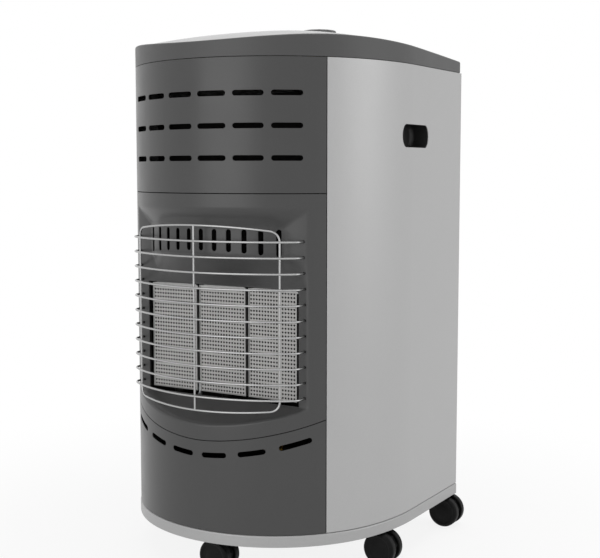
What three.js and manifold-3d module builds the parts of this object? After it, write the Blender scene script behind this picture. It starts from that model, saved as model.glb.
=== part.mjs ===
// Portable gas cabinet heater on castors: a round-fronted steel cabinet with three ceramic
// burner plaques behind a chrome wire guard, a domed lid with the control knob, a hinged rear
// door over the bottle bay, and five twin-wheel castors. Millimetres, +Z up, front towards -Y.

import * as THREE from 'three';
import { mergeVertices } from 'three/addons/utils/BufferGeometryUtils.js';
import Module from 'manifold-3d';

const wasm = await Module();
wasm.setup();

// ---- driving dimensions -------------------------------------------------------------------

// Cabinet plan: one wide front arc, a flatter cheek arc on each side, straight parallel sides.
const FRONT_RADIUS = 203.6;
const FRONT_SWEEP = 73.6;
const CHEEK_RADIUS = 297;
const SIDE_LENGTH = 158.7;
const FRONT_FACETS = 9;
const CHEEK_FACETS = 3;

// Sheet metal and fits.
const SHEET = 1;
const SEAM = 0.6;
const FIT = 0.3;

// Base tray: an inverted pan whose deck carries the panels and the bottle.
const TRAY_HEIGHT = 15.7;
const TRAY_WALL = 1.5;
const TRAY_PROUD = 0.8;
const BOTTLE_RADIUS = 153;
const BOTTLE_STOP_HEIGHT = 7;
const BOTTLE_STOP_WALL = 3;
const BOTTLE_CLEARANCE = 2.5;
const TRAY_VENT_LENGTH = 90;
const TRAY_VENT_WIDTH = 9;
const TRAY_VENT_PITCH = 60;
const TRAY_VENT_COUNT = 4;

// Panels.
const BODY_TOP = 640;
const SIDE_SEAM_ARC = 178.5;
const REAR_RETURN = 12.4;
const PANEL_FOLD = 8;
const UPPER_SEAM_Z = 465.6;
const SMILE_LOW_Z = 138.2;
const SMILE_RISE = 30.9;
const SMILE_POWER = 1.75;

// Warm-air slots of the upper panel and the intake slots of the lower panel.
const SLOT_HEIGHT = 7;
const UPPER_SLOT_LENGTH = 41.1;
const UPPER_SLOT_PITCH = 50.55;
const UPPER_SLOT_COUNT = 6;
const UPPER_ROWS = 3;
const UPPER_ROW_MARGIN = 45.55;
const LOWER_SLOT_DROP = 19.3;
const LOWER_SLOTS = [
  { arc: 25.4, length: 35 },
  { arc: 78.4, length: 36.5 },
  { arc: 136.6, length: 44 },
];

// Burner recess in the surround panel.
const RECESS_JAMB_ANGLE = 3.76;
const BAND_INSET_ANGLE = 4.94;
const RECESS_TOP_Z = 445.7;
const BAND_SETBACK = 12.1;
const BAND_TOP_Z = 422;
const BAND_LOW_Z = 383.5;
const BAND_LOW_DROP = 3.5;
const BAND_SLOT_COUNT = 11;
const BAND_SLOT_PITCH = 20.6;
const BAND_SLOT_WIDTH = 6.8;
const BAND_SLOT_TOP_Z = 419;
const BAND_SLOT_LOW_Z = 390.2;
const BAND_SLOT_END_DROP = 7;
const WINDOW_SETBACK = 56.6;
const WINDOW_MARGIN = 1.9;
const WINDOW_TOP_GAP = 1.7;
const WINDOW_LOW_GAP = 4;
const RECESS_LIP_RISE = 21.8;

// Burner heads and their ceramic plaques.
const HEAD_COUNT = 3;
const HEAD_WIDTH = 76;
const HEAD_HEIGHT = 148.3;
const HEAD_DEPTH = 25;
const HEAD_PITCH = 81;
const HEAD_WALL = 1.2;
const HEAD_GAP = 3.5;
const HEAD_LOW_Z = 190;
const PLAQUE_THICKNESS = 12;
const PLAQUE_INSET = 0.6;
const PLAQUE_LEDGE = 3;
const MIXER_RADIUS = 9;
const MIXER_WALL = 1.4;
const MIXER_LENGTH = 40;
const MIXER_MOUTH_RADIUS = 11.5;

// Burner carrier, gas manifold, supply pipe, pilot and heat shield behind the heads.
const CARRIER_THICKNESS = 1.2;
const CARRIER_TOP_MARGIN = 18;
const CARRIER_LOW_Z = 108;
const CARRIER_APRON_HALF_WIDTH = 85;
const MANIFOLD_RADIUS = 6;
const MANIFOLD_HALF_LENGTH = 92;
const MANIFOLD_DROP = 28;
const MANIFOLD_LUG_X = 42;
const INJECTOR_RADIUS = 3.6;
const PIPE_RADIUS = 3.5;
const PIPE_X = 112;
const PIPE_BEND = 9;
const PILOT_TIP_RADIUS = 1.8;
const PILOT_TIP_TOP_Z = 201;
const SHIELD_THICKNESS = 1;
const SHIELD_TOP_DROP = 42;
const SHIELD_FOLD = 22;

// Chrome wire guard.
const WIRE_RADIUS = 1.55;
const WIRE_SIDES = 5;
const GUARD_RADIUS = 203.6;
const GUARD_STANDOFF = 6.5;
const GUARD_ROWS = 11;
const GUARD_TOP_ROW_Z = 403.7;
const GUARD_ROW_PITCH = 20.55;
const GUARD_HOLE_INSET_ANGLE = 0.8;
const GUARD_LEG_ANGLE = 34.4;
const GUARD_LOOP_TOP_Z = 424.2;
const GUARD_LOOP_LOW_Z = 179.3;
const GUARD_LOOP_BOW = 5;
const GUARD_CORNER = 14;
const GUARD_WELD = 2.5;
const GUARD_END_BEND = 4;
const GUARD_END_REACH = 7;
const GUARD_HOLE_CLEARANCE = 0.4;

// Lid: plastic rim with a wavy top edge, and the domed top panel inside it.
const RIM_WALL = 3.6;
const RIM_ROUND = 2.4;
const RIM_FRONT_HEIGHT = 21.3;
const RIM_SHOULDER_HEIGHT = 29;
const RIM_SHOULDER_ARC = 196;
const RIM_REAR_HEIGHT = 16;
const RIM_FALL_POWER = 1.4;
const RIM_LEDGE = 4.4;
const RIM_LEDGE_THICKNESS = 2;
const LID_CORNER = 8;
const TOP_PANEL_THICKNESS = 1.5;
const TOP_PANEL_SUNK = 1.2;
const DOME_PEAK = 50;
const DOME_RINGS = 3;

// Control knob in its dish, the press-and-turn spindle and the gas valve below.
const KNOB_X = 75;
const KNOB_Y = -11;
const KNOB_RADIUS = 25;
const KNOB_TOP_RISE = 49.1;
const KNOB_HEIGHT = 13.5;
const KNOB_FLUTES = 12;
const KNOB_FLUTE_DEPTH = 1.1;
const KNOB_ROUND = 2.2;
const KNOB_PRESS = 4;
const DISH_RADIUS = 33.5;
const DISH_WALL = 1.5;
const DISH_MARGIN = 1;
const SPINDLE_RADIUS = 4;
const SPINDLE_CLEARANCE = 0.3;
const SPINDLE_COLLAR_RADIUS = 7;
const SPINDLE_COLLAR_HEIGHT = 2;
const KNOB_ROOF = 4;
const VALVE_WIDTH = 34;
const VALVE_DEPTH = 40;
const VALVE_HEIGHT = 22;
const VALVE_NECK_RADIUS = 9;
const PORT_LENGTH = 6;
const HOSE_TAIL_LENGTH = 30;
const HOSE_TAIL_RADIUS = 5;
const RAIL_HALF_DEPTH = 36;
const RAIL_FLANGE = 12;
const RAIL_TOP_DROP = 6;

// Hand-grip holes in the side panels and the cups behind them.
const GRIP_Y = 29.7;
const GRIP_DROP = 97.5;
const GRIP_LENGTH = 77.9;
const GRIP_HEIGHT = 31.3;
const GRIP_BULGE = 10;
const GRIP_DEPTH = 28;
const GRIP_WALL = 2;
const GRIP_FLANGE = 6;

// Rear door with its bottle bulge, lift-off hinges and magnetic catch.
const DOOR_GAP = 0.6;
const DOOR_BULGE = 23.4;
const DOOR_BULGE_HALF_WIDTH = 172;
const DOOR_BULGE_SLOPE = 34;
const DOOR_BULGE_MARGIN = 26;
const DOOR_VENT_LENGTH = 64;
const DOOR_VENT_HEIGHT = 7;
const DOOR_VENT_PITCH_X = 84;
const DOOR_VENT_PITCH_Z = 16;
const DOOR_VENT_COLUMNS = 3;
const DOOR_VENT_ROWS = 3;
const DOOR_VENT_INSET = 76;
const DOOR_PULL_WIDTH = 13;
const DOOR_PULL_HEIGHT = 60;
const DOOR_PULL_INSET = 12;
const DOOR_PULL_RISE = 80;
const HINGE_BARREL_RADIUS = 4;
const HINGE_PIN_RADIUS = 2;
const HINGE_PIN_CLEARANCE = 0.3;
const HINGE_BARREL_LENGTH = 16;
const HINGE_OFFSET_X = 2.4;
const HINGE_INSET_Z = 90;
const HINGE_LEAF_HEIGHT = 30;
const MAGNET_LENGTH = 46;
const MAGNET_DEPTH = 10;
const MAGNET_HEIGHT = 12;

// Twin-wheel castors: one at the front, one on each side, one at each rear corner.
const WHEEL_RADIUS = 23.7;
const WHEEL_WIDTH = 11.7;
const WHEEL_FACETS = 14;
const WHEEL_EDGE = 2.2;
const WHEEL_TOP_CLEARANCE = 1.1;
const CASTOR_TRAIL = 13;
const CASTOR_WEB = 10.4;
const CASTOR_WEB_RADIUS = 20;
const CASTOR_BOSS_RADIUS = 8;
const CASTOR_RUN_CLEARANCE = 0.4;
const AXLE_RADIUS = 3;
const AXLE_STUB = 9;
const STEM_RADIUS = 3;
const STEM_FLANGE_RADIUS = 9;
const STEM_FLANGE_HEIGHT = 4;
const STEM_SOCKET_DEPTH = 20;
const STEM_NUT_RADIUS = 6.5;
const STEM_NUT_HEIGHT = 4.5;
const CASTOR_FRONT_INSET = 31.6;
const CASTOR_SIDE_INSET = 29.6;
const CASTOR_SIDE_Y = -30.5;
const CASTOR_REAR_INSET_X = 23;
const CASTOR_REAR_INSET_Y = 13;

// ---- finishes -----------------------------------------------------------------------------

function finish(color, roughness, metalness) {
  return new THREE.MeshStandardMaterial({ color, roughness, metalness });
}

const FINISHES = {
  graphitePaint: finish(0x555657, 0.45, 0.3),
  silverPaint: finish(0xb9babb, 0.4, 0.4),
  trayPaint: finish(0xa8a9aa, 0.45, 0.4),
  rimPlastic: finish(0x5a5b5c, 0.5, 0),
  lidPaint: finish(0xd4d5d6, 0.4, 0.2),
  chrome: finish(0xe4e6e8, 0.12, 1),
  ceramic: finish(0xb5b0a8, 0.9, 0),
  aluminisedSteel: finish(0xb4b6b8, 0.4, 0.8),
  brass: finish(0xb08d4c, 0.35, 0.9),
  blackPlastic: finish(0x17181a, 0.55, 0),
  blackRubber: finish(0x1c1c1d, 0.8, 0),
  greyPlastic: finish(0x6d6e70, 0.5, 0),
  zincSteel: finish(0x9fa3a6, 0.4, 0.8),
};

// ---- geometry helpers ---------------------------------------------------------------------

const rad = THREE.MathUtils.degToRad;
const vec = (x, y, z) => new THREE.Vector3(x, y, z);

// The closed solid of a three.js geometry.
function solid(geometry) {
  const bare = geometry.index ? geometry.toNonIndexed() : geometry.clone();
  bare.deleteAttribute('normal');
  bare.deleteAttribute('uv');
  const merged = mergeVertices(bare, 1e-4);
  const mesh = new wasm.Mesh({
    numProp: 3,
    vertProperties: Float32Array.from(merged.attributes.position.array),
    triVerts: Uint32Array.from(merged.index.array),
  });
  return new wasm.Manifold(mesh);
}

// The three.js geometry of a solid.
function geometryOf(body) {
  const mesh = body.getMesh();
  const geometry = new THREE.BufferGeometry();
  geometry.setAttribute('position', new THREE.BufferAttribute(Float32Array.from(mesh.vertProperties), 3));
  geometry.setIndex(new THREE.BufferAttribute(Uint32Array.from(mesh.triVerts), 1));
  const flat = geometry.toNonIndexed();
  flat.computeVertexNormals();
  return flat;
}

const join = (bodies) => bodies.reduce((sum, body) => sum.add(body));
const cut = (body, tools) => tools.reduce((rest, tool) => rest.subtract(tool), body);

// A closed geometry skinned over rings of points; the last ring meets the first when looped.
function loft(rings, looped = false) {
  const count = rings[0].length;
  const positions = rings.flat().flatMap((point) => [point.x, point.y, point.z]);
  const faces = [];
  const spans = looped ? rings.length : rings.length - 1;
  for (let i = 0; i < spans; i += 1) {
    const near = i * count;
    const far = ((i + 1) % rings.length) * count;
    for (let j = 0; j < count; j += 1) {
      const k = (j + 1) % count;
      faces.push([near + j, near + k, far + k], [near + j, far + k, far + j]);
    }
  }
  if (!looped) {
    capFaces(rings[0]).forEach(([a, b, c]) => faces.push([c, b, a]));
    const last = (rings.length - 1) * count;
    capFaces(rings[rings.length - 1]).forEach(([a, b, c]) => faces.push([last + a, last + b, last + c]));
  }
  const geometry = new THREE.BufferGeometry();
  geometry.setAttribute('position', new THREE.BufferAttribute(Float32Array.from(positions), 3));
  geometry.setIndex(faces.flat());
  return volumeOf(geometry) < 0 ? turnedInsideOut(geometry) : geometry;
}

// Triangles across a flat ring of points, wound with the ring.
function capFaces(ring) {
  const normal = vec(0, 0, 0);
  ring.forEach((point, i) => {
    const next = ring[(i + 1) % ring.length];
    normal.add(point.clone().cross(next));
  });
  normal.normalize();
  const across = Math.abs(normal.z) > 0.9 ? vec(1, 0, 0) : vec(0, 0, 1).cross(normal).normalize();
  const up = normal.clone().cross(across);
  const flat = ring.map((point) => new THREE.Vector2(point.dot(across), point.dot(up)));
  return THREE.ShapeUtils.triangulateShape(flat, []);
}

function volumeOf(geometry) {
  const position = geometry.attributes.position;
  const index = geometry.index.array;
  let sum = 0;
  for (let i = 0; i < index.length; i += 3) {
    const [a, b, c] = [0, 1, 2].map((k) => vec(0, 0, 0).fromBufferAttribute(position, index[i + k]));
    sum += a.dot(b.cross(c));
  }
  return sum / 6;
}

function turnedInsideOut(geometry) {
  const index = Array.from(geometry.index.array);
  for (let i = 0; i < index.length; i += 3) {
    [index[i], index[i + 1]] = [index[i + 1], index[i]];
  }
  geometry.setIndex(index);
  return geometry;
}

// A round bar with flat ends swept through a list of points.
function bar(points, radius, sides) {
  let side = null;
  const rings = points.map((point, i) => {
    const before = points[Math.max(i - 1, 0)];
    const after = points[Math.min(i + 1, points.length - 1)];
    const inward = i > 0 ? point.clone().sub(before).normalize() : after.clone().sub(point).normalize();
    const outward = i < points.length - 1 ? after.clone().sub(point).normalize() : inward;
    const along = inward.clone().add(outward).normalize();
    const stretch = 1 / Math.max(along.dot(outward), 0.5);
    if (!side) side = Math.abs(along.z) > 0.9 ? vec(1, 0, 0) : vec(0, 0, 1);
    side = side.clone().addScaledVector(along, -side.dot(along)).normalize();
    const third = along.clone().cross(side);
    const bend = outward.clone().sub(inward);
    const fold = bend.lengthSq() > 1e-9 ? bend.normalize() : null;
    return Array.from({ length: sides }, (_, k) => {
      const angle = (2 * Math.PI * (k + 0.5)) / sides;
      const arm = side.clone().multiplyScalar(Math.cos(angle) * radius)
        .addScaledVector(third, Math.sin(angle) * radius);
      if (fold) arm.addScaledVector(fold, arm.dot(fold) * (stretch - 1));
      return point.clone().add(arm);
    });
  });
  return loft(rings);
}

// Points of a path whose inner corners are rounded off.
function rounded(corners, bend, facets = 4) {
  const points = [corners[0]];
  for (let i = 1; i < corners.length - 1; i += 1) {
    const start = corners[i].clone().add(corners[i - 1].clone().sub(corners[i]).setLength(bend));
    const end = corners[i].clone().add(corners[i + 1].clone().sub(corners[i]).setLength(bend));
    const curve = new THREE.QuadraticBezierCurve3(start, corners[i], end);
    points.push(...curve.getPoints(facets));
  }
  points.push(corners[corners.length - 1]);
  return points;
}

// An upright prism over a plan outline.
function prism(outline, z0, z1) {
  const shape = new THREE.Shape(outline.map((point) => new THREE.Vector2(point.x, point.y)));
  const geometry = new THREE.ExtrudeGeometry(shape, { depth: z1 - z0, bevelEnabled: false });
  return geometry.translate(0, 0, z0);
}

function box(x0, x1, y0, y1, z0, z1) {
  const geometry = new THREE.BoxGeometry(x1 - x0, y1 - y0, z1 - z0);
  return geometry.translate((x0 + x1) / 2, (y0 + y1) / 2, (z0 + z1) / 2);
}

// A turned body about the upright axis through (x, y); the profile lists [radius, z] from axis to axis.
function turned(profile, x, y, facets, phase = 0) {
  const points = profile.map(([radius, z]) => new THREE.Vector2(radius, z));
  const geometry = new THREE.LatheGeometry(points, facets, phase);
  const upright = solidOriented(geometry.rotateX(Math.PI / 2));
  return upright.translate(x, y, 0);
}

// The same geometry with its faces pointing out.
function solidOriented(geometry) {
  const bare = geometry.clone();
  bare.deleteAttribute('normal');
  bare.deleteAttribute('uv');
  const merged = mergeVertices(bare, 1e-4);
  const kept = [];
  const index = merged.index.array;
  for (let i = 0; i < index.length; i += 3) {
    const [a, b, c] = [index[i], index[i + 1], index[i + 2]];
    if (a !== b && b !== c && a !== c) kept.push(a, b, c);
  }
  merged.setIndex(kept);
  return volumeOf(merged) < 0 ? turnedInsideOut(merged) : merged;
}

// A round-ended slot outline of a given length and height, centred on the origin.
function slotShape(length, height) {
  const radius = height / 2;
  const half = length / 2 - radius;
  const shape = new THREE.Shape();
  shape.absarc(half, 0, radius, -Math.PI / 2, Math.PI / 2, false);
  shape.absarc(-half, 0, radius, Math.PI / 2, (3 * Math.PI) / 2, false);
  return shape;
}

// A tool extruded from a shape, its shape plane spanned by `across` and `up` about a centre.
function punch(shape, centre, across, up, depth, curveSegments = 2) {
  const geometry = new THREE.ExtrudeGeometry(shape, { depth, bevelEnabled: false, curveSegments });
  geometry.translate(0, 0, -depth / 2);
  const through = across.clone().cross(up);
  const place = new THREE.Matrix4().makeBasis(across, up, through).setPosition(centre);
  return geometry.applyMatrix4(place);
}

// ---- the cabinet's plan -------------------------------------------------------------------

const frontArc = FRONT_RADIUS * rad(FRONT_SWEEP);
const cheekArc = CHEEK_RADIUS * (Math.PI / 2 - rad(FRONT_SWEEP));
const sideArc = frontArc + cheekArc + SIDE_LENGTH;
const cheekCentre = vec(
  (FRONT_RADIUS - CHEEK_RADIUS) * Math.sin(rad(FRONT_SWEEP)),
  (CHEEK_RADIUS - FRONT_RADIUS) * Math.cos(rad(FRONT_SWEEP)),
  0,
);
const halfWidth = cheekCentre.x + CHEEK_RADIUS;
const rearY = cheekCentre.y + SIDE_LENGTH;

const sideCastorX = halfWidth - CASTOR_SIDE_INSET;
const rearCastorX = halfWidth - CASTOR_REAR_INSET_X;
const rearCastorY = rearY - CASTOR_REAR_INSET_Y;
const CASTORS = [
  { name: 'front', x: 0, y: CASTOR_FRONT_INSET - FRONT_RADIUS, trailSide: 1 },
  { name: 'side_right', x: sideCastorX, y: CASTOR_SIDE_Y, trailSide: 1 },
  { name: 'side_left', x: -sideCastorX, y: CASTOR_SIDE_Y, trailSide: -1 },
  { name: 'rear_right', x: rearCastorX, y: rearCastorY, trailSide: 1 },
  { name: 'rear_left', x: -rearCastorX, y: rearCastorY, trailSide: -1 },
];

// Depths of the burner recess behind the middle of the front.
const bandRadius = FRONT_RADIUS - BAND_SETBACK;
const windowDepth = FRONT_RADIUS - WINDOW_SETBACK;
const headFrontY = HEAD_GAP - windowDepth;

// The outward direction of the plan at an arc length from the middle of the front.
function planNormal(arc) {
  const length = Math.abs(arc);
  let angle = Math.PI / 2;
  if (length <= frontArc) angle = length / FRONT_RADIUS;
  else if (length <= frontArc + cheekArc) angle = rad(FRONT_SWEEP) + (length - frontArc) / CHEEK_RADIUS;
  return vec(Math.sin(angle) * Math.sign(arc || 1), -Math.cos(angle), 0);
}

// A point of the plan at an arc length, set in from the outer face.
function planPoint(arc, inset, z = 0) {
  const length = Math.abs(arc);
  const side = Math.sign(arc || 1);
  const normal = planNormal(length);
  let point;
  if (length <= frontArc) {
    point = normal.clone().multiplyScalar(FRONT_RADIUS - inset);
  } else if (length <= frontArc + cheekArc) {
    point = cheekCentre.clone().addScaledVector(normal, CHEEK_RADIUS - inset);
  } else {
    point = vec(halfWidth - inset, cheekCentre.y + length - frontArc - cheekArc, 0);
  }
  return vec(point.x * side, point.y, z);
}

// The facet stations of the plan between two arc lengths.
function stations(from, to) {
  const half = [];
  for (let i = 1; i <= FRONT_FACETS; i += 1) half.push((frontArc * i) / FRONT_FACETS);
  for (let i = 1; i <= CHEEK_FACETS; i += 1) half.push(frontArc + (cheekArc * i) / CHEEK_FACETS);
  const all = [...half.map((arc) => -arc).reverse(), 0, ...half];
  return [from, ...all.filter((arc) => arc > from + 1 && arc < to - 1), to];
}

// The whole plan set in by an amount, closed along the rear.
function planOutline(inset, rearInset = inset) {
  const reach = sideArc - rearInset;
  return stations(-reach, reach).map((arc) => planPoint(arc, inset));
}

// The solid inside of the cabinet at an inset, used to trim what fits inside it.
const core = (inset, z0, z1) => solid(prism(planOutline(inset), z0, z1));

// The smiling seam between the lower front panel and the burner surround.
function smileZ(arc) {
  return SMILE_LOW_Z + SMILE_RISE * (Math.abs(arc) / SIDE_SEAM_ARC) ** SMILE_POWER;
}

// Height of the rim's top edge above the body at an arc length.
function rimHeight(arc) {
  const length = Math.abs(arc);
  if (length <= RIM_SHOULDER_ARC) {
    const rise = (1 - Math.cos((Math.PI * length) / RIM_SHOULDER_ARC)) / 2;
    return RIM_FRONT_HEIGHT + (RIM_SHOULDER_HEIGHT - RIM_FRONT_HEIGHT) * rise;
  }
  const fall = Math.min((length - RIM_SHOULDER_ARC) / (sideArc - RIM_SHOULDER_ARC), 1) ** RIM_FALL_POWER;
  return RIM_SHOULDER_HEIGHT + (RIM_REAR_HEIGHT - RIM_SHOULDER_HEIGHT) * fall;
}

// ---- base tray ----------------------------------------------------------------------------

const deckTop = TRAY_HEIGHT;
const deckUnder = TRAY_HEIGHT - TRAY_WALL;
const carrierFrontY = headFrontY + HEAD_DEPTH + FIT;
const carrierBackY = carrierFrontY + CARRIER_THICKNESS;
const pipeY = carrierBackY + 0.6 + PIPE_RADIUS;
const shieldFrontY = pipeY + PIPE_RADIUS + 0.8;
const shieldBackY = shieldFrontY + SHIELD_THICKNESS;
const shieldTopZ = BODY_TOP - SHIELD_TOP_DROP;
const bottleY = shieldBackY + BOTTLE_CLEARANCE + BOTTLE_STOP_WALL + FIT + BOTTLE_RADIUS;

function trayOutline(inset) {
  const reach = sideArc + TRAY_PROUD - inset;
  return stations(-reach, reach).map((arc) => planPoint(arc, inset - TRAY_PROUD));
}

function baseTray() {
  const shell = solid(prism(trayOutline(0), 0, deckTop))
    .subtract(solid(prism(trayOutline(TRAY_WALL), -1, deckUnder)));
  const stop = bottleStop();
  const tools = CASTORS.map(({ x, y }) => solid(turned([
    [0, 0],
    [STEM_RADIUS + FIT, 0],
    [STEM_RADIUS + FIT, deckTop + 1],
    [0, deckTop + 1],
  ], x, y, 12)));
  for (let i = 0; i < TRAY_VENT_COUNT; i += 1) {
    const x = (i - (TRAY_VENT_COUNT - 1) / 2) * TRAY_VENT_PITCH;
    const centre = vec(x, bottleY, deckTop);
    tools.push(solid(punch(slotShape(TRAY_VENT_LENGTH, TRAY_VENT_WIDTH), centre,
      vec(0, 1, 0), vec(-1, 0, 0), 3 * TRAY_WALL)));
  }
  return cut(shell.add(stop), tools);
}

// The curved ridge on the deck that keeps the bottle off the heat shield.
function bottleStop() {
  const inner = BOTTLE_RADIUS + BOTTLE_CLEARANCE;
  const outer = inner + BOTTLE_STOP_WALL;
  const facets = 8;
  const rings = Array.from({ length: facets + 1 }, (_, i) => {
    const angle = rad(-60 + (120 * i) / facets);
    const arm = vec(Math.sin(angle), -Math.cos(angle), 0);
    const at = (radius, z) => vec(arm.x * radius, bottleY + arm.y * radius, z);
    const low = deckTop - TRAY_WALL / 2;
    const high = deckTop + BOTTLE_STOP_HEIGHT;
    return [at(inner, low), at(outer, low), at(outer, high), at(inner, high)];
  });
  return solid(loft(rings)).intersect(core(SHEET + 1, 0, BODY_TOP));
}

// ---- sheet-metal panels -------------------------------------------------------------------

const panelLow = TRAY_HEIGHT + FIT;
const panelTop = BODY_TOP - FIT;
const frontReach = SIDE_SEAM_ARC - SEAM / 2;
const gripZ = BODY_TOP - GRIP_DROP;

function sidePanel(side) {
  const start = SIDE_SEAM_ARC + SEAM / 2;
  const path = stations(start, sideArc);
  const outline = [
    planPoint(start, frontFoldDepth(start)),
    planPoint(start + SHEET, frontFoldDepth(start + SHEET)),
    planPoint(start + SHEET, SHEET),
    ...path.slice(1, -1).map((arc) => planPoint(arc, SHEET)),
    planPoint(sideArc - SHEET, SHEET),
    vec(halfWidth - REAR_RETURN, rearY - SHEET, 0),
    vec(halfWidth - REAR_RETURN, rearY, 0),
    ...path.reverse().map((arc) => planPoint(arc, 0)),
  ].map((point) => vec(point.x * side, point.y, 0));
  const middle = vec(side * halfWidth, GRIP_Y, gripZ);
  const hole = punch(gripShape(0), middle, vec(0, 1, 0), vec(0, 0, 1), GRIP_DEPTH, 4);
  return solid(prism(outline, panelLow, panelTop)).subtract(solid(hole));
}

// The front fold of a side panel reaches back to the burner carrier.
function frontFoldDepth(arc) {
  const start = planPoint(arc, 0);
  const normal = planNormal(arc);
  return (carrierFrontY - FIT - start.y) / -normal.y;
}

// The hand hole's outline: straight edges with bulged ends, grown by an amount.
function gripShape(grow) {
  const half = GRIP_LENGTH / 2 - GRIP_BULGE;
  const [across, up] = [GRIP_BULGE + grow, GRIP_HEIGHT / 2 + grow];
  const shape = new THREE.Shape();
  shape.absellipse(half, 0, across, up, -Math.PI / 2, Math.PI / 2, false, 0);
  shape.absellipse(-half, 0, across, up, Math.PI / 2, (3 * Math.PI) / 2, false, 0);
  return shape;
}

// A front panel with folded edges between two heights that may follow the arc.
function foldedPanel(lowAt, highAt) {
  const rings = stations(-frontReach, frontReach).map((arc) => {
    const low = lowAt(arc);
    const high = highAt(arc);
    return [
      planPoint(arc, 0, low),
      planPoint(arc, 0, high),
      planPoint(arc, PANEL_FOLD, high),
      planPoint(arc, PANEL_FOLD, high - SHEET),
      planPoint(arc, SHEET, high - SHEET),
      planPoint(arc, SHEET, low + SHEET),
      planPoint(arc, PANEL_FOLD, low + SHEET),
      planPoint(arc, PANEL_FOLD, low),
    ];
  });
  return solid(loft(rings));
}

// A slot tool across the front skin, tilted to follow a sloping line.
function frontSlot(arc, z, length, height, tilt = 0) {
  const normal = planNormal(arc);
  const level = vec(-normal.y, normal.x, 0);
  const across = level.multiplyScalar(Math.cos(tilt)).add(vec(0, 0, Math.sin(tilt)));
  const up = normal.clone().cross(across);
  return solid(punch(slotShape(length, height), planPoint(arc, 0, z), across, up, 6 * SHEET));
}

function upperFrontPanel() {
  const body = foldedPanel(() => UPPER_SEAM_Z + SEAM / 2, () => panelTop);
  const rowPitch = (BODY_TOP - UPPER_SEAM_Z - 2 * UPPER_ROW_MARGIN) / (UPPER_ROWS - 1);
  const tools = [];
  for (let row = 0; row < UPPER_ROWS; row += 1) {
    const z = BODY_TOP - UPPER_ROW_MARGIN - row * rowPitch;
    for (let i = 0; i < UPPER_SLOT_COUNT; i += 1) {
      const arc = (i - (UPPER_SLOT_COUNT - 1) / 2) * UPPER_SLOT_PITCH;
      tools.push(frontSlot(arc, z, UPPER_SLOT_LENGTH, SLOT_HEIGHT));
    }
  }
  return cut(body, tools);
}

function lowerFrontPanel() {
  const body = foldedPanel(() => panelLow, (arc) => smileZ(arc) - SEAM / 2);
  const tools = LOWER_SLOTS.flatMap(({ arc, length }) => [-1, 1].map((side) => {
    const at = side * arc;
    const slope = (smileZ(at + 1) - smileZ(at - 1)) / 2;
    return frontSlot(at, smileZ(at) - LOWER_SLOT_DROP, length, SLOT_HEIGHT, Math.atan(slope));
  }));
  return cut(body, tools);
}

// ---- burner surround ----------------------------------------------------------------------

const headTopZ = HEAD_LOW_Z + HEAD_HEIGHT;
const headsHalfWidth = ((HEAD_COUNT - 1) * HEAD_PITCH + HEAD_WIDTH) / 2;
const windowHalfWidth = headsHalfWidth + WINDOW_MARGIN;
const windowTopZ = headTopZ + WINDOW_TOP_GAP;
const windowLowZ = HEAD_LOW_Z - WINDOW_LOW_GAP;
const windowAngle = THREE.MathUtils.radToDeg(Math.atan(windowHalfWidth / windowDepth));
const recessAngle = windowAngle + RECESS_JAMB_ANGLE;
const bandAngle = windowAngle - BAND_INSET_ANGLE;

// One section of the recess at an angle across the front, grown outwards by `grow`:
// sloping brow, slotted band, hood, burner window and sill.
function recessSection(angle, grow) {
  const turn = rad(angle);
  const size = Math.abs(angle);
  const mouth = FRONT_RADIUS + 8;
  const jamb = (radius, innerAngle) => radius
    + (FRONT_RADIUS - radius) * Math.max((size - innerAngle) / (recessAngle - innerAngle), 0);
  const endRadius = windowDepth / Math.cos(rad(windowAngle));
  const back = size <= windowAngle ? windowDepth / Math.cos(turn) : jamb(endRadius, windowAngle);
  const band = Math.max(jamb(bandRadius, bandAngle), back);
  const bandLow = BAND_LOW_Z - BAND_LOW_DROP * (size / bandAngle) ** 2;
  const arc = FRONT_RADIUS * turn;
  const lip = smileZ(arc) + RECESS_LIP_RISE;
  const brow = (RECESS_TOP_Z - BAND_TOP_Z) / (FRONT_RADIUS - bandRadius);
  const browRise = grow * Math.hypot(1, brow);
  const sill = (windowLowZ - lip) / (FRONT_RADIUS - Math.min(back, FRONT_RADIUS - 6));
  const sillDrop = grow * Math.hypot(1, sill);
  const profile = [
    [mouth, RECESS_TOP_Z + brow * 8 + browRise],
    [band - grow, BAND_TOP_Z + brow * (band - bandRadius) - brow * grow + browRise],
    [band - grow, bandLow + grow * 0.6],
    [back - grow, windowTopZ + grow],
    [back - grow, lip + sill * (FRONT_RADIUS - back) + sill * grow - sillDrop],
    [mouth, lip - sill * 8 - sillDrop],
  ];
  return profile.map(([radius, z]) => vec(radius * Math.sin(turn), -radius * Math.cos(turn), z));
}

function recessTool(grow) {
  const spread = THREE.MathUtils.radToDeg((grow * 1.5) / FRONT_RADIUS);
  const steps = 6;
  const half = Array.from({ length: steps }, (_, i) => (bandAngle * (i + 1)) / steps);
  const ends = [windowAngle, recessAngle, recessAngle + 1];
  const angles = [...half, ...ends];
  const all = [...angles.map((angle) => -angle).reverse(), 0, ...angles];
  const rings = all.map((angle) => {
    const section = recessSection(angle, grow);
    const shift = Math.abs(angle) > bandAngle + 0.1 ? Math.sign(angle) * rad(spread) : 0;
    return section.map((point) => point.applyAxisAngle(vec(0, 0, 1), shift));
  });
  return solid(loft(rings));
}

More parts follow.
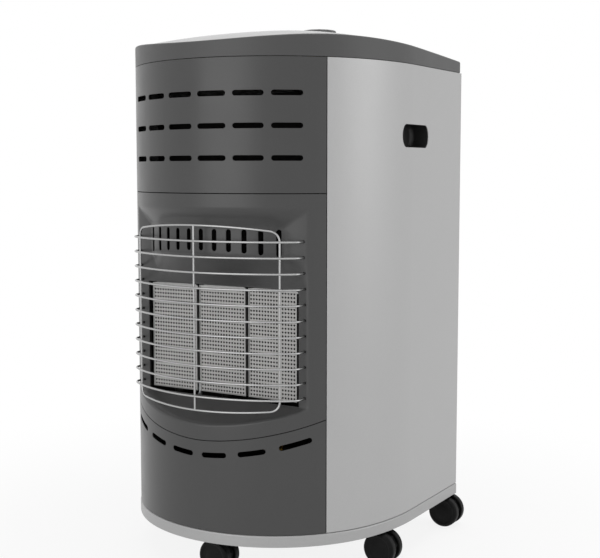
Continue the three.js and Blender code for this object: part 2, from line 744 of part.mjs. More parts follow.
function burnerSurround() {
  const skin = foldedPanel((arc) => smileZ(arc) + SEAM / 2, () => UPPER_SEAM_Z - SEAM / 2);
  const pan = recessTool(SHEET).intersect(core(0, SMILE_LOW_Z, UPPER_SEAM_Z - SHEET));
  const window = solid(box(-windowHalfWidth, windowHalfWidth,
    -windowDepth - 1, -windowDepth + 4 * SHEET, windowLowZ, windowTopZ));
  const tools = [recessTool(0), window];
  for (let i = 0; i < BAND_SLOT_COUNT; i += 1) tools.push(bandSlot(i));
  guardRowHeights().forEach((z) => [-1, 1].forEach((side) => tools.push(guardEndHole(side, z))));
  return cut(skin.add(pan), tools);
}

// One upright slot in the band above the burner; the outer slots reach lower.
function bandSlot(i) {
  const x = (i - (BAND_SLOT_COUNT - 1) / 2) * BAND_SLOT_PITCH;
  const angle = Math.asin(x / bandRadius);
  const reach = ((BAND_SLOT_COUNT - 1) / 2) * BAND_SLOT_PITCH;
  const low = BAND_SLOT_LOW_Z - BAND_SLOT_END_DROP * (x / reach) ** 2;
  const across = vec(0, 0, 1);
  const normal = vec(Math.sin(angle), -Math.cos(angle), 0);
  const centre = normal.clone().multiplyScalar(bandRadius).setZ((BAND_SLOT_TOP_Z + low) / 2);
  const up = normal.clone().cross(across);
  const shape = slotShape(BAND_SLOT_TOP_Z - low, BAND_SLOT_WIDTH);
  return solid(punch(shape, centre, across, up, 5 * SHEET));
}

// ---- wire guard ---------------------------------------------------------------------------

// The row wires bow between two columns of holes in the recess's jambs.
const guardEndX = FRONT_RADIUS * Math.sin(rad(recessAngle - GUARD_HOLE_INSET_ANGLE));
const guardFaceY = -Math.sqrt(FRONT_RADIUS ** 2 - guardEndX ** 2);
const guardEndAngle = THREE.MathUtils.radToDeg(Math.asin(guardEndX / GUARD_RADIUS));
const guardCentreY = guardFaceY - GUARD_STANDOFF + GUARD_RADIUS * Math.cos(rad(guardEndAngle));

function guardPoint(angle, z, inset = 0) {
  const turn = rad(angle);
  const radius = GUARD_RADIUS - inset;
  return vec(radius * Math.sin(turn), guardCentreY - radius * Math.cos(turn), z);
}

function guardRowHeights() {
  return Array.from({ length: GUARD_ROWS }, (_, i) => GUARD_TOP_ROW_Z - i * GUARD_ROW_PITCH);
}

// The tip of a row wire: it turns straight back and passes through the panel.
function guardTip(side, z) {
  return vec(side * guardEndX, guardFaceY + GUARD_END_REACH, z);
}

function guardEndHole(side, z) {
  const tip = guardTip(side, z);
  const start = tip.clone().setY(tip.y - GUARD_END_REACH - 3);
  return solid(bar([start, tip.setY(tip.y + 2)], WIRE_RADIUS + GUARD_HOLE_CLEARANCE, WIRE_SIDES));
}

function guardRow(z) {
  const steps = 8;
  const span = guardEndAngle - 1.2;
  const arc = Array.from({ length: steps + 1 }, (_, i) => guardPoint(-span + (2 * span * i) / steps, z));
  const corner = (side) => {
    const end = guardPoint(side * guardEndAngle, z);
    const bend = new THREE.QuadraticBezierCurve3(
      guardPoint(side * span, z), end, end.clone().setY(end.y + GUARD_END_BEND));
    return bend.getPoints(2).slice(1);
  };
  const left = corner(-1).reverse();
  const points = [guardTip(-1, z), ...left, ...arc, ...corner(1), guardTip(1, z)];
  return solid(bar(points, WIRE_RADIUS, WIRE_SIDES));
}

// The loop behind the rows: two legs joined by gently bowed top and bottom wires.
function guardLoop() {
  const bow = (angle) => GUARD_LOOP_BOW * (angle / GUARD_LEG_ANGLE) ** 2;
  const cornerAngle = THREE.MathUtils.radToDeg(GUARD_CORNER / GUARD_RADIUS);
  const edge = (z, sign) => Array.from({ length: 9 }, (_, i) => {
    const angle = (GUARD_LEG_ANGLE - cornerAngle) * (-1 + i / 4);
    return guardPoint(angle, z - sign * bow(angle), GUARD_WELD);
  });
  const corner = (side, z, sign) => {
    const start = GUARD_LEG_ANGLE - cornerAngle;
    const from = guardPoint(side * start, z - sign * bow(start), GUARD_WELD);
    const peak = guardPoint(side * GUARD_LEG_ANGLE, z - sign * GUARD_LOOP_BOW, GUARD_WELD);
    const down = peak.clone().setZ(peak.z - sign * GUARD_CORNER);
    return new THREE.QuadraticBezierCurve3(from, peak, down).getPoints(3).slice(1);
  };
  const top = edge(GUARD_LOOP_TOP_Z, 1);
  const low = edge(GUARD_LOOP_LOW_Z, -1).reverse();
  const points = [
    ...top,
    ...corner(1, GUARD_LOOP_TOP_Z, 1),
    ...corner(1, GUARD_LOOP_LOW_Z, -1).reverse(),
    ...low,
    ...corner(-1, GUARD_LOOP_LOW_Z, -1),
    ...corner(-1, GUARD_LOOP_TOP_Z, 1).reverse(),
  ];
  return solid(ringBar(points, WIRE_RADIUS, WIRE_SIDES));
}

// A round bar whose end meets its start.
function ringBar(points, radius, sides) {
  const count = points.length;
  const rings = points.map((point, i) => {
    const before = points[(i + count - 1) % count];
    const after = points[(i + 1) % count];
    const along = after.clone().sub(before).normalize();
    const outward = vec(point.x, point.y - guardCentreY, 0).normalize();
    const side = outward.clone().addScaledVector(along, -outward.dot(along)).normalize();
    const third = along.clone().cross(side);
    return Array.from({ length: sides }, (_, k) => {
      const angle = (2 * Math.PI * (k + 0.5)) / sides;
      return point.clone().addScaledVector(side, Math.cos(angle) * radius)
        .addScaledVector(third, Math.sin(angle) * radius);
    });
  });
  return loft(rings, true);
}

function wireGuard() {
  const rows = guardRowHeights().map(guardRow);
  const middle = [
    guardPoint(0, GUARD_LOOP_TOP_Z - 0.4, GUARD_WELD),
    guardPoint(0, GUARD_LOOP_LOW_Z + 0.4, GUARD_WELD),
  ];
  return join([guardLoop(), solid(bar(middle, WIRE_RADIUS, WIRE_SIDES)), ...rows]);
}

// ---- burner heads, plaques, gas parts ------------------------------------------------------

const headX = (i) => (i - (HEAD_COUNT - 1) / 2) * HEAD_PITCH;
const headBackY = headFrontY + HEAD_DEPTH;
const mixerY = headBackY - MIXER_MOUTH_RADIUS;
const mixerLowZ = HEAD_LOW_Z - MIXER_LENGTH;
const plaqueFrontY = headFrontY + PLAQUE_INSET;
const plaqueBackY = plaqueFrontY + PLAQUE_THICKNESS;
const manifoldZ = mixerLowZ - MANIFOLD_DROP;

// A pressed-steel burner head: a tray that holds the plaque, with its mixing tube below.
function burnerHead(i) {
  const x = headX(i);
  const half = HEAD_WIDTH / 2;
  const shell = solid(box(x - half, x + half, headFrontY, headBackY, HEAD_LOW_Z, headTopZ));
  const seat = solid(box(x - half + HEAD_WALL, x + half - HEAD_WALL, headFrontY - 1,
    plaqueBackY + FIT, HEAD_LOW_Z + HEAD_WALL, headTopZ - HEAD_WALL));
  const rim = HEAD_WALL + PLAQUE_LEDGE;
  const plenum = solid(box(x - half + rim, x + half - rim, headFrontY - 1,
    headBackY - HEAD_WALL, HEAD_LOW_Z + rim, headTopZ - rim));
  const tube = solid(turned([
    [0, mixerLowZ],
    [MIXER_MOUTH_RADIUS, mixerLowZ],
    [MIXER_MOUTH_RADIUS, mixerLowZ + 2],
    [MIXER_RADIUS, mixerLowZ + 9],
    [MIXER_RADIUS, HEAD_LOW_Z + HEAD_WALL],
    [0, HEAD_LOW_Z + HEAD_WALL],
  ], x, mixerY, 12));
  const bore = solid(turned([
    [0, mixerLowZ - 1],
    [MIXER_MOUTH_RADIUS - MIXER_WALL, mixerLowZ - 1],
    [MIXER_MOUTH_RADIUS - MIXER_WALL, mixerLowZ + 1.5],
    [MIXER_RADIUS - MIXER_WALL, mixerLowZ + 9],
    [MIXER_RADIUS - MIXER_WALL, HEAD_LOW_Z + rim + 1],
    [0, HEAD_LOW_Z + rim + 1],
  ], x, mixerY, 12));
  return cut(shell.add(tube), [seat, plenum, bore]);
}

function ceramicPlaque(i) {
  const half = HEAD_WIDTH / 2 - HEAD_WALL - FIT;
  const low = HEAD_LOW_Z + HEAD_WALL + FIT;
  const high = headTopZ - HEAD_WALL - FIT;
  const bevel = 1;
  const ring = (inset, y) => [
    vec(headX(i) - half + inset, y, low + inset),
    vec(headX(i) + half - inset, y, low + inset),
    vec(headX(i) + half - inset, y, high - inset),
    vec(headX(i) - half + inset, y, high - inset),
  ];
  return solid(loft([ring(bevel, plaqueFrontY), ring(0, plaqueFrontY + bevel), ring(0, plaqueBackY)]));
}

// The plate behind the heads that carries them, with a narrow apron down to the manifold.
function burnerCarrier() {
  const top = headTopZ + CARRIER_TOP_MARGIN;
  const shoulder = HEAD_LOW_Z - CARRIER_TOP_MARGIN;
  const plate = solid(box(-halfWidth, halfWidth, carrierFrontY, carrierBackY, shoulder, top))
    .intersect(core(SHEET + FIT, 0, BODY_TOP));
  const apron = solid(box(-CARRIER_APRON_HALF_WIDTH, CARRIER_APRON_HALF_WIDTH,
    carrierFrontY, carrierBackY, CARRIER_LOW_Z, shoulder + 1));
  return plate.add(apron);
}

function gasManifold() {
  const ends = [-1, 1].map((side) => vec(side * MANIFOLD_HALF_LENGTH, mixerY, manifoldZ));
  const pipe = bar(ends, MANIFOLD_RADIUS, 12);
  const injectors = Array.from({ length: HEAD_COUNT }, (_, i) => solid(turned([
    [0, manifoldZ],
    [INJECTOR_RADIUS, manifoldZ],
    [INJECTOR_RADIUS, manifoldZ + MANIFOLD_DROP * 0.6],
    [INJECTOR_RADIUS * 0.45, manifoldZ + MANIFOLD_DROP * 0.85],
    [0, manifoldZ + MANIFOLD_DROP * 0.85],
  ], headX(i), mixerY, 8)));
  const lugs = [-1, 1].map((side) => solid(box(side * MANIFOLD_LUG_X - 6, side * MANIFOLD_LUG_X + 6,
    mixerY, carrierFrontY - FIT, manifoldZ - 4, manifoldZ + 4)));
  return join([solid(pipe), ...injectors, ...lugs]);
}

// ---- control group ------------------------------------------------------------------------

const knobTopZ = BODY_TOP + KNOB_TOP_RISE;
const knobLowZ = knobTopZ - KNOB_HEIGHT;
const dishFloorZ = knobLowZ - KNOB_PRESS - DISH_MARGIN;
const dishUnderZ = dishFloorZ - DISH_WALL;
const railTopZ = BODY_TOP - RAIL_TOP_DROP;
const valveLowZ = railTopZ + FIT;
const valveTopZ = valveLowZ + VALVE_HEIGHT;
const collarTopZ = dishUnderZ - FIT;
const collarLowZ = collarTopZ - SPINDLE_COLLAR_HEIGHT;
const neckTopZ = collarLowZ - KNOB_PRESS - FIT;
const spindleTopZ = knobTopZ - KNOB_ROOF;
const spindleLowZ = neckTopZ - 10;
const valvePortZ = valveLowZ + VALVE_HEIGHT / 2;
const portRadius = PIPE_RADIUS + 2;

function supplyPipe() {
  const start = vec(MANIFOLD_HALF_LENGTH + FIT, mixerY, manifoldZ);
  const outlet = vec(KNOB_X, KNOB_Y - VALVE_DEPTH / 2 - PORT_LENGTH - FIT, valvePortZ);
  const corners = [
    start,
    vec(PIPE_X, mixerY, manifoldZ),
    vec(PIPE_X, pipeY, manifoldZ),
    vec(PIPE_X, pipeY, valvePortZ),
    vec(KNOB_X, outlet.y - 14, valvePortZ),
    outlet,
  ];
  const bend = Math.min(PIPE_BEND, Math.abs(pipeY - mixerY) / 2 - 0.5);
  return solid(bar(rounded(corners, bend, 3), PIPE_RADIUS, 8));
}

function gasValve() {
  const block = solid(box(KNOB_X - VALVE_WIDTH / 2, KNOB_X + VALVE_WIDTH / 2,
    KNOB_Y - VALVE_DEPTH / 2, KNOB_Y + VALVE_DEPTH / 2, valveLowZ, valveTopZ));
  const neck = solid(turned([
    [0, valveTopZ - 1],
    [VALVE_NECK_RADIUS, valveTopZ - 1],
    [VALVE_NECK_RADIUS, neckTopZ],
    [0, neckTopZ],
  ], KNOB_X, KNOB_Y, 16));
  const bore = solid(turned([
    [0, spindleLowZ - KNOB_PRESS - FIT],
    [SPINDLE_RADIUS + SPINDLE_CLEARANCE, spindleLowZ - KNOB_PRESS - FIT],
    [SPINDLE_RADIUS + SPINDLE_CLEARANCE, neckTopZ + 1],
    [0, neckTopZ + 1],
  ], KNOB_X, KNOB_Y, 12));
  const outletY = KNOB_Y - VALVE_DEPTH / 2;
  const ends = [1, -PORT_LENGTH].map((reach) => vec(KNOB_X, outletY + reach, valvePortZ));
  const outlet = solid(bar(ends, portRadius, 6));
  return cut(join([block, neck, outlet, hoseTail()]), [bore]);
}

// The barbed tail at the back of the valve that takes the gas hose.
function hoseTail() {
  const start = KNOB_Y + VALVE_DEPTH / 2;
  const barb = HOSE_TAIL_LENGTH / 4;
  const profile = [[0, -1], [HOSE_TAIL_RADIUS, -1], [HOSE_TAIL_RADIUS, barb]];
  for (let i = 1; i <= 3; i += 1) {
    profile.push([HOSE_TAIL_RADIUS + 1.2, barb * i + 0.5], [HOSE_TAIL_RADIUS - 0.6, barb * (i + 1)]);
  }
  profile.push([0, HOSE_TAIL_LENGTH]);
  const points = profile.map(([radius, y]) => new THREE.Vector2(radius, y));
  const geometry = solidOriented(new THREE.LatheGeometry(points, 12));
  return solid(geometry.translate(KNOB_X, start, valvePortZ));
}

function valveSpindle() {
  return solid(turned([
    [0, spindleLowZ],
    [SPINDLE_RADIUS, spindleLowZ],
    [SPINDLE_RADIUS, collarLowZ],
    [SPINDLE_COLLAR_RADIUS, collarLowZ],
    [SPINDLE_COLLAR_RADIUS, collarTopZ],
    [SPINDLE_RADIUS, collarTopZ],
    [SPINDLE_RADIUS, spindleTopZ],
    [0, spindleTopZ],
  ], KNOB_X, KNOB_Y, 12));
}

function controlKnob() {
  const steps = KNOB_FLUTES * 3;
  const ring = (grow, z) => Array.from({ length: steps }, (_, k) => {
    const angle = (2 * Math.PI * k) / steps;
    const radius = KNOB_RADIUS - grow - (k % 3 === 0 ? KNOB_FLUTE_DEPTH : 0);
    return vec(KNOB_X + radius * Math.cos(angle), KNOB_Y + radius * Math.sin(angle), z);
  });
  const body = solid(loft([
    ring(0, knobLowZ),
    ring(0.6, knobTopZ - KNOB_ROUND),
    ring(0.6 + KNOB_ROUND, knobTopZ),
  ]));
  const bore = solid(turned([
    [0, knobLowZ - 1],
    [SPINDLE_RADIUS + SPINDLE_CLEARANCE, knobLowZ - 1],
    [SPINDLE_RADIUS + SPINDLE_CLEARANCE, spindleTopZ + FIT],
    [0, spindleTopZ + FIT],
  ], KNOB_X, KNOB_Y, 12));
  const hollow = solid(turned([
    [0, knobLowZ - 1],
    [KNOB_RADIUS - 4, knobLowZ - 1],
    [KNOB_RADIUS - 5, knobTopZ - KNOB_ROOF],
    [0, knobTopZ - KNOB_ROOF],
  ], KNOB_X, KNOB_Y, 20));
  const hub = solid(turned([
    [0, knobLowZ - 2],
    [SPINDLE_RADIUS + 3, knobLowZ - 2],
    [SPINDLE_RADIUS + 3, knobTopZ],
    [0, knobTopZ],
  ], KNOB_X, KNOB_Y, 12));
  return cut(body, [hollow.subtract(hub), bore]);
}

function topRail() {
  const y0 = KNOB_Y - RAIL_HALF_DEPTH;
  const y1 = KNOB_Y + RAIL_HALF_DEPTH;
  const section = [
    vec(0, y0, railTopZ - RAIL_FLANGE),
    vec(0, y0, railTopZ),
    vec(0, y1, railTopZ),
    vec(0, y1, railTopZ - RAIL_FLANGE),
    vec(0, y1 - SHEET, railTopZ - RAIL_FLANGE),
    vec(0, y1 - SHEET, railTopZ - SHEET),
    vec(0, y0 + SHEET, railTopZ - SHEET),
    vec(0, y0 + SHEET, railTopZ - RAIL_FLANGE),
  ];
  const rings = [-halfWidth, halfWidth].map((x) => section.map((point) => point.clone().setX(x)));
  return solid(loft(rings)).intersect(core(SHEET + FIT, 0, BODY_TOP));
}

function pilotAssembly() {
  const x = headX(0) + HEAD_PITCH / 2;
  const tipY = headFrontY + 3;
  const armTop = HEAD_LOW_Z - 14;
  const arm = solid(box(x - 5, x + 5, tipY - 4, carrierFrontY - FIT, armTop - 3, armTop));
  const tube = solid(turned([
    [0, armTop - 1],
    [PILOT_TIP_RADIUS, armTop - 1],
    [PILOT_TIP_RADIUS, PILOT_TIP_TOP_Z],
    [0, PILOT_TIP_TOP_Z],
  ], x, tipY, 8));
  const cup = solid(turned([
    [0, armTop - 1],
    [3.4, armTop - 1],
    [3.4, HEAD_LOW_Z - 3],
    [0, HEAD_LOW_Z - 3],
  ], x, tipY, 10));
  return join([arm, tube, cup]);
}

function heatShield() {
  const low = deckTop + FIT;
  const profile = [
    vec(0, shieldFrontY, low),
    vec(0, shieldFrontY, shieldTopZ),
    vec(0, shieldFrontY + SHIELD_FOLD, shieldTopZ + SHIELD_FOLD * 0.6),
    vec(0, shieldFrontY + SHIELD_FOLD + 0.6, shieldTopZ + SHIELD_FOLD * 0.6 - SHIELD_THICKNESS),
    vec(0, shieldBackY, shieldTopZ - SHIELD_THICKNESS * 0.4),
    vec(0, shieldBackY, low),
  ];
  const rings = [-halfWidth, halfWidth].map((x) => profile.map((point) => point.clone().setX(x)));
  return solid(loft(rings)).intersect(core(SHEET + FIT, 0, BODY_TOP));
}

// ---- lid ----------------------------------------------------------------------------------

// The lid's plan: the cabinet's with rounded rear corners; `place` runs once round it.
function lidStations() {
  const reach = sideArc - LID_CORNER;
  const along = stations(-reach, reach).map((arc) => ({
    height: rimHeight(arc),
    at: (inset, z) => planPoint(arc, inset, z),
  }));
  const corner = (side) => Array.from({ length: 3 }, (_, i) => {
    const angle = (Math.PI / 2) * ((i + 1) / 3);
    const centre = vec(side * (halfWidth - LID_CORNER), rearY - LID_CORNER, 0);
    const arm = vec(side * Math.cos(angle), Math.sin(angle), 0);
    return {
      height: RIM_REAR_HEIGHT,
      at: (inset, z) => {
        const reach = LID_CORNER - Math.min(inset, LID_CORNER);
        return centre.clone().addScaledVector(arm, reach).setZ(z);
      },
    };
  });
  return [...along, ...corner(1), ...corner(-1).reverse()];
}

function lidRim() {
  const rings = lidStations().map(({ height, at }) => {
    const top = BODY_TOP + height;
    const seat = top - TOP_PANEL_SUNK - TOP_PANEL_THICKNESS - FIT;
    return [
      at(0, BODY_TOP),
      at(0, top - RIM_ROUND),
      at(RIM_ROUND * 0.3, top - RIM_ROUND * 0.3),
      at(RIM_ROUND, top),
      at(RIM_WALL, top),
      at(RIM_WALL, seat),
      at(RIM_WALL + RIM_LEDGE, seat),
      at(RIM_WALL + RIM_LEDGE, seat - RIM_LEDGE_THICKNESS),
      at(RIM_WALL, seat - RIM_LEDGE_THICKNESS),
      at(RIM_WALL, BODY_TOP),
    ];
  });
  return solid(loft(rings, true));
}

// Height of the dome over its rim: highest at the middle, falling with the square of the reach.
const domeZ = (edge, reach) => BODY_TOP + DOME_PEAK - (DOME_PEAK - edge) * reach ** 2;

// A closed body under the dome surface; `underZ` gives its lower face from the upper.
function domeBody(underZ) {
  const edge = lidStations().map(({ height, at }) => ({
    height: height - TOP_PANEL_SUNK,
    point: at(RIM_WALL + FIT, 0),
  }));
  const count = edge.length;
  const positions = [];
  const push = (x, y, z) => positions.push(x, y, z);
  const layer = (map) => {
    edge.forEach(({ height, point }) => {
      for (let ring = 1; ring <= DOME_RINGS; ring += 1) {
        const reach = ring / DOME_RINGS;
        push(point.x * reach, point.y * reach, map(domeZ(height, reach)));
      }
    });
    push(0, 0, map(domeZ(0, 0)));
  };
  layer((z) => z);
  layer(underZ);
  const size = count * DOME_RINGS + 1;
  const faces = [];
  const quad = (a, b, c, d) => faces.push(a, b, c, a, c, d);
  for (let i = 0; i < count; i += 1) {
    const here = i * DOME_RINGS;
    const next = ((i + 1) % count) * DOME_RINGS;
    faces.push(size - 1, here, next, 2 * size - 1, size + next, size + here);
    for (let ring = 0; ring < DOME_RINGS - 1; ring += 1) {
      quad(here + ring, here + ring + 1, next + ring + 1, next + ring);
      quad(size + here + ring, size + next + ring, size + next + ring + 1, size + here + ring + 1);
    }
    const last = DOME_RINGS - 1;
    quad(here + last, size + here + last, size + next + last, next + last);
  }
  const geometry = new THREE.BufferGeometry();
  geometry.setAttribute('position', new THREE.BufferAttribute(Float32Array.from(positions), 3));
  geometry.setIndex(faces);
  return solid(volumeOf(geometry) < 0 ? turnedInsideOut(geometry) : geometry);
}

function topPanel() {
  const shell = domeBody((z) => z - TOP_PANEL_THICKNESS);
  const outer = solid(turned([
    [0, dishUnderZ],
    [DISH_RADIUS, dishUnderZ],
    [DISH_RADIUS + DISH_WALL, dishFloorZ],
    [DISH_RADIUS + DISH_WALL, BODY_TOP + DOME_PEAK + 5],
    [0, BODY_TOP + DOME_PEAK + 5],
  ], KNOB_X, KNOB_Y, 20));
  const inner = solid(turned([
    [0, dishFloorZ],
    [DISH_RADIUS - 2, dishFloorZ],
    [DISH_RADIUS, dishFloorZ + 2],
    [DISH_RADIUS, BODY_TOP + DOME_PEAK + 9],
    [0, BODY_TOP + DOME_PEAK + 9],
  ], KNOB_X, KNOB_Y, 20));
  const hole = solid(turned([
    [0, dishUnderZ - 2],
    [SPINDLE_RADIUS + 1.2, dishUnderZ - 2],
    [SPINDLE_RADIUS + 1.2, dishFloorZ + 1],
    [0, dishFloorZ + 1],
  ], KNOB_X, KNOB_Y, 12));
  const under = domeBody(() => BODY_TOP + 1);
  return cut(shell.add(outer.intersect(under)), [inner, hole]);
}

// ---- hand grips ---------------------------------------------------------------------------

function gripCup(side) {
  const centre = vec(side * (halfWidth - GRIP_DEPTH), GRIP_Y, gripZ);
  const tool = (grow, depth, x) => solid(punch(gripShape(grow), centre.clone().setX(side * x),
    vec(0, 1, 0), vec(0, 0, 1), depth, 4));
  const floorX = halfWidth - GRIP_DEPTH;
  const inner = core(SHEET + FIT, 0, BODY_TOP);
  const deeper = core(SHEET + FIT + GRIP_WALL, 0, BODY_TOP);
  const outer = tool(GRIP_WALL, 2 * GRIP_DEPTH, floorX + GRIP_DEPTH).intersect(inner);
  const flange = tool(GRIP_FLANGE, 2 * GRIP_DEPTH, floorX + GRIP_DEPTH).intersect(inner).subtract(deeper);
  const hollow = tool(0, 2 * GRIP_DEPTH, floorX + GRIP_WALL + GRIP_DEPTH);
  return outer.add(flange).subtract(hollow);
}

// ---- rear door ----------------------------------------------------------------------------

const doorHalfWidth = halfWidth - REAR_RETURN - DOOR_GAP;
const doorLow = TRAY_HEIGHT + DOOR_GAP;
const doorTop = BODY_TOP - DOOR_GAP;
const hingeX = -(doorHalfWidth + HINGE_OFFSET_X);
const hingeY = rearY + HINGE_BARREL_RADIUS + FIT;
const hingeHeights = [doorLow + HINGE_INSET_Z, doorTop - HINGE_INSET_Z];

// One level section of the door: flat margins and the curved bulge, `swell` from 0 to 1.
function doorSection(z, swell) {
  const steps = 6;
  const flatHalf = DOOR_BULGE_HALF_WIDTH - DOOR_BULGE_SLOPE;
  const path = [vec(-doorHalfWidth, 0, z), vec(-DOOR_BULGE_HALF_WIDTH, 0, z)];
  for (let i = 0; i <= steps; i += 1) {
    const t = -1 + (2 * i) / steps;
    path.push(vec(flatHalf * t, swell * DOOR_BULGE * (0.62 + 0.38 * (1 - t * t)), z));
  }
  path.push(vec(DOOR_BULGE_HALF_WIDTH, 0, z), vec(doorHalfWidth, 0, z));
  const outer = path.map((point) => point.clone().setY(rearY + point.y));
  const inner = path.map((point) => point.clone().setY(rearY + point.y - SHEET)).reverse();
  return [...outer, ...inner];
}

function rearDoor() {
  const slope = DOOR_BULGE_MARGIN + DOOR_BULGE_SLOPE;
  const skin = solid(loft([
    doorSection(doorLow, 0),
    doorSection(doorLow + DOOR_BULGE_MARGIN, 0),
    doorSection(doorLow + slope, 1),
    doorSection(doorTop - slope, 1),
    doorSection(doorTop - DOOR_BULGE_MARGIN, 0),
    doorSection(doorTop, 0),
  ]));
  const barrels = hingeHeights.map((z) => hingeKnuckle(z + FIT, z + FIT + HINGE_BARREL_LENGTH));
  return cut(join([skin, ...barrels]), [...doorVents(), doorPull()]);
}

// Rows of air vents near the bottom and the top of the door's bulge.
function doorVents() {
  const vents = [];
  const shape = slotShape(DOOR_VENT_LENGTH, DOOR_VENT_HEIGHT);
  for (let row = 0; row < DOOR_VENT_ROWS; row += 1) {
    const inset = DOOR_VENT_INSET + row * DOOR_VENT_PITCH_Z;
    for (let column = 0; column < DOOR_VENT_COLUMNS; column += 1) {
      const x = (column - (DOOR_VENT_COLUMNS - 1) / 2) * DOOR_VENT_PITCH_X;
      [doorLow + inset, doorTop - inset].forEach((z) => {
        const centre = vec(x, rearY + DOOR_BULGE / 2, z);
        vents.push(solid(punch(shape, centre, vec(1, 0, 0), vec(0, 0, 1), 3 * DOOR_BULGE)));
      });
    }
  }
  return vents;
}

// The upright finger hole beside the door's free edge.
function doorPull() {
  const centre = vec(doorHalfWidth - DOOR_PULL_INSET, rearY, (doorLow + doorTop) / 2 + DOOR_PULL_RISE);
  const shape = slotShape(DOOR_PULL_HEIGHT, DOOR_PULL_WIDTH);
  return solid(punch(shape, centre, vec(0, 0, 1), vec(1, 0, 0), 10 * SHEET));
}

// A door knuckle: a bored barrel on the hinge line, wrapped onto the door's edge.
function hingeKnuckle(z0, z1) {
  const barrel = solid(turned([
    [0, z0],
    [HINGE_BARREL_RADIUS, z0],
    [HINGE_BARREL_RADIUS, z1],
    [0, z1],
  ], hingeX, hingeY, 12));
  const wrap = solid(box(hingeX, -doorHalfWidth + 12, rearY - SHEET / 2, rearY + SHEET + 0.6, z0, z1));
  const clear = solid(box(-halfWidth, -doorHalfWidth, rearY - SHEET, rearY + FIT, z0 - 1, z1 + 1));
  const bore = solid(turned([
    [0, z0 - 1],
    [HINGE_PIN_RADIUS + HINGE_PIN_CLEARANCE, z0 - 1],
    [HINGE_PIN_RADIUS + HINGE_PIN_CLEARANCE, z1 + 1],
    [0, z1 + 1],
  ], hingeX, hingeY, 12));
  return cut(barrel.add(wrap), [clear, bore]);
}

// A cabinet hinge: a leaf on the side panel's return, its barrel and the upright pin.
function hingeBracket(z) {
  const leafY = rearY + FIT;
  const leaf = solid(box(-halfWidth + 1, hingeX, leafY, leafY + SHEET, z - HINGE_LEAF_HEIGHT, z));
  const barrel = solid(turned([
    [0, z - HINGE_BARREL_LENGTH],
    [HINGE_BARREL_RADIUS, z - HINGE_BARREL_LENGTH],
    [HINGE_BARREL_RADIUS, z],
    [HINGE_PIN_RADIUS, z],
    [HINGE_PIN_RADIUS, z + HINGE_BARREL_LENGTH],
    [0, z + HINGE_BARREL_LENGTH],
  ], hingeX, hingeY, 12));
  return leaf.add(barrel);
}

// The magnet of the door catch, fixed behind the right side panel's return.
function doorMagnet() {
  const x1 = halfWidth - SHEET - FIT;
  const x0 = halfWidth - REAR_RETURN - DOOR_GAP - MAGNET_DEPTH;
  const y1 = rearY - SHEET - FIT;
  const z = (doorLow + doorTop) / 2;
  return solid(box(x0, x1, y1 - MAGNET_HEIGHT, y1, z - MAGNET_LENGTH / 2, z + MAGNET_LENGTH / 2));
}

// ---- castors ------------------------------------------------------------------------------

const wheelCentreZ = -WHEEL_TOP_CLEARANCE - WHEEL_RADIUS;
const wheelLowZ = wheelCentreZ - WHEEL_RADIUS * Math.cos(Math.PI / WHEEL_FACETS);
const wheelInnerY = CASTOR_WEB / 2 + CASTOR_RUN_CLEARANCE;
const stemTopZ = deckUnder - FIT;
const bossTopZ = stemTopZ - STEM_FLANGE_HEIGHT - FIT;

function castorStem() {
  const pinLow = bossTopZ - STEM_SOCKET_DEPTH;
  const nutLow = deckTop + FIT;
  return solid(turned([
    [0, pinLow],
    [STEM_RADIUS, pinLow],
    [STEM_RADIUS, stemTopZ - STEM_FLANGE_HEIGHT],
    [STEM_FLANGE_RADIUS, stemTopZ - STEM_FLANGE_HEIGHT],
    [STEM_FLANGE_RADIUS, stemTopZ],
    [STEM_RADIUS, stemTopZ],
    [STEM_RADIUS, nutLow],
    [STEM_NUT_RADIUS, nutLow],
    [STEM_NUT_RADIUS, nutLow + STEM_NUT_HEIGHT],
    [0, nutLow + STEM_NUT_HEIGHT],
  ], 0, 0, 8));
}

// The swivelling housing: a web between the wheels, its boss on the stem, and the axle stubs.
function castorHousing(trailSide) {
  const trail = trailSide * CASTOR_TRAIL;
  const outline = [];
  const steps = 8;
  for (let i = 0; i <= steps; i += 1) {
    const angle = Math.PI * (-1.25 + (1.75 * i) / steps);
    const x = CASTOR_TRAIL + CASTOR_WEB_RADIUS * Math.cos(angle);
    outline.push(new THREE.Vector2(x, wheelCentreZ + CASTOR_WEB_RADIUS * Math.sin(angle)));
  }
  const neckLow = -WHEEL_TOP_CLEARANCE;
  outline.push(new THREE.Vector2(CASTOR_BOSS_RADIUS, neckLow));
  outline.push(new THREE.Vector2(-CASTOR_BOSS_RADIUS, neckLow));
  outline.push(new THREE.Vector2(-CASTOR_BOSS_RADIUS, neckLow - 8));
  const shape = new THREE.Shape(outline.map((point) => new THREE.Vector2(point.x * trailSide, point.y)));
  const web = solid(punch(shape, vec(0, 0, 0), vec(1, 0, 0), vec(0, 0, 1), CASTOR_WEB));
  const boss = solid(turned([
    [0, neckLow - 0.5],
    [CASTOR_BOSS_RADIUS, neckLow + 0.3],
    [CASTOR_BOSS_RADIUS, bossTopZ],
    [0, bossTopZ],
  ], 0, 0, 12));
  const reach = CASTOR_WEB / 2 + AXLE_STUB;
  const axle = solid(bar([-reach, reach].map((y) => vec(trail, y, wheelCentreZ)), AXLE_RADIUS, 8));
  const socketLow = bossTopZ - STEM_SOCKET_DEPTH - FIT;
  const socket = solid(turned([
    [0, socketLow],
    [STEM_RADIUS + FIT, socketLow],
    [STEM_RADIUS + FIT, bossTopZ + 1],
    [0, bossTopZ + 1],
  ], 0, 0, 8));
  return cut(join([web, boss, axle]), [socket]);
}

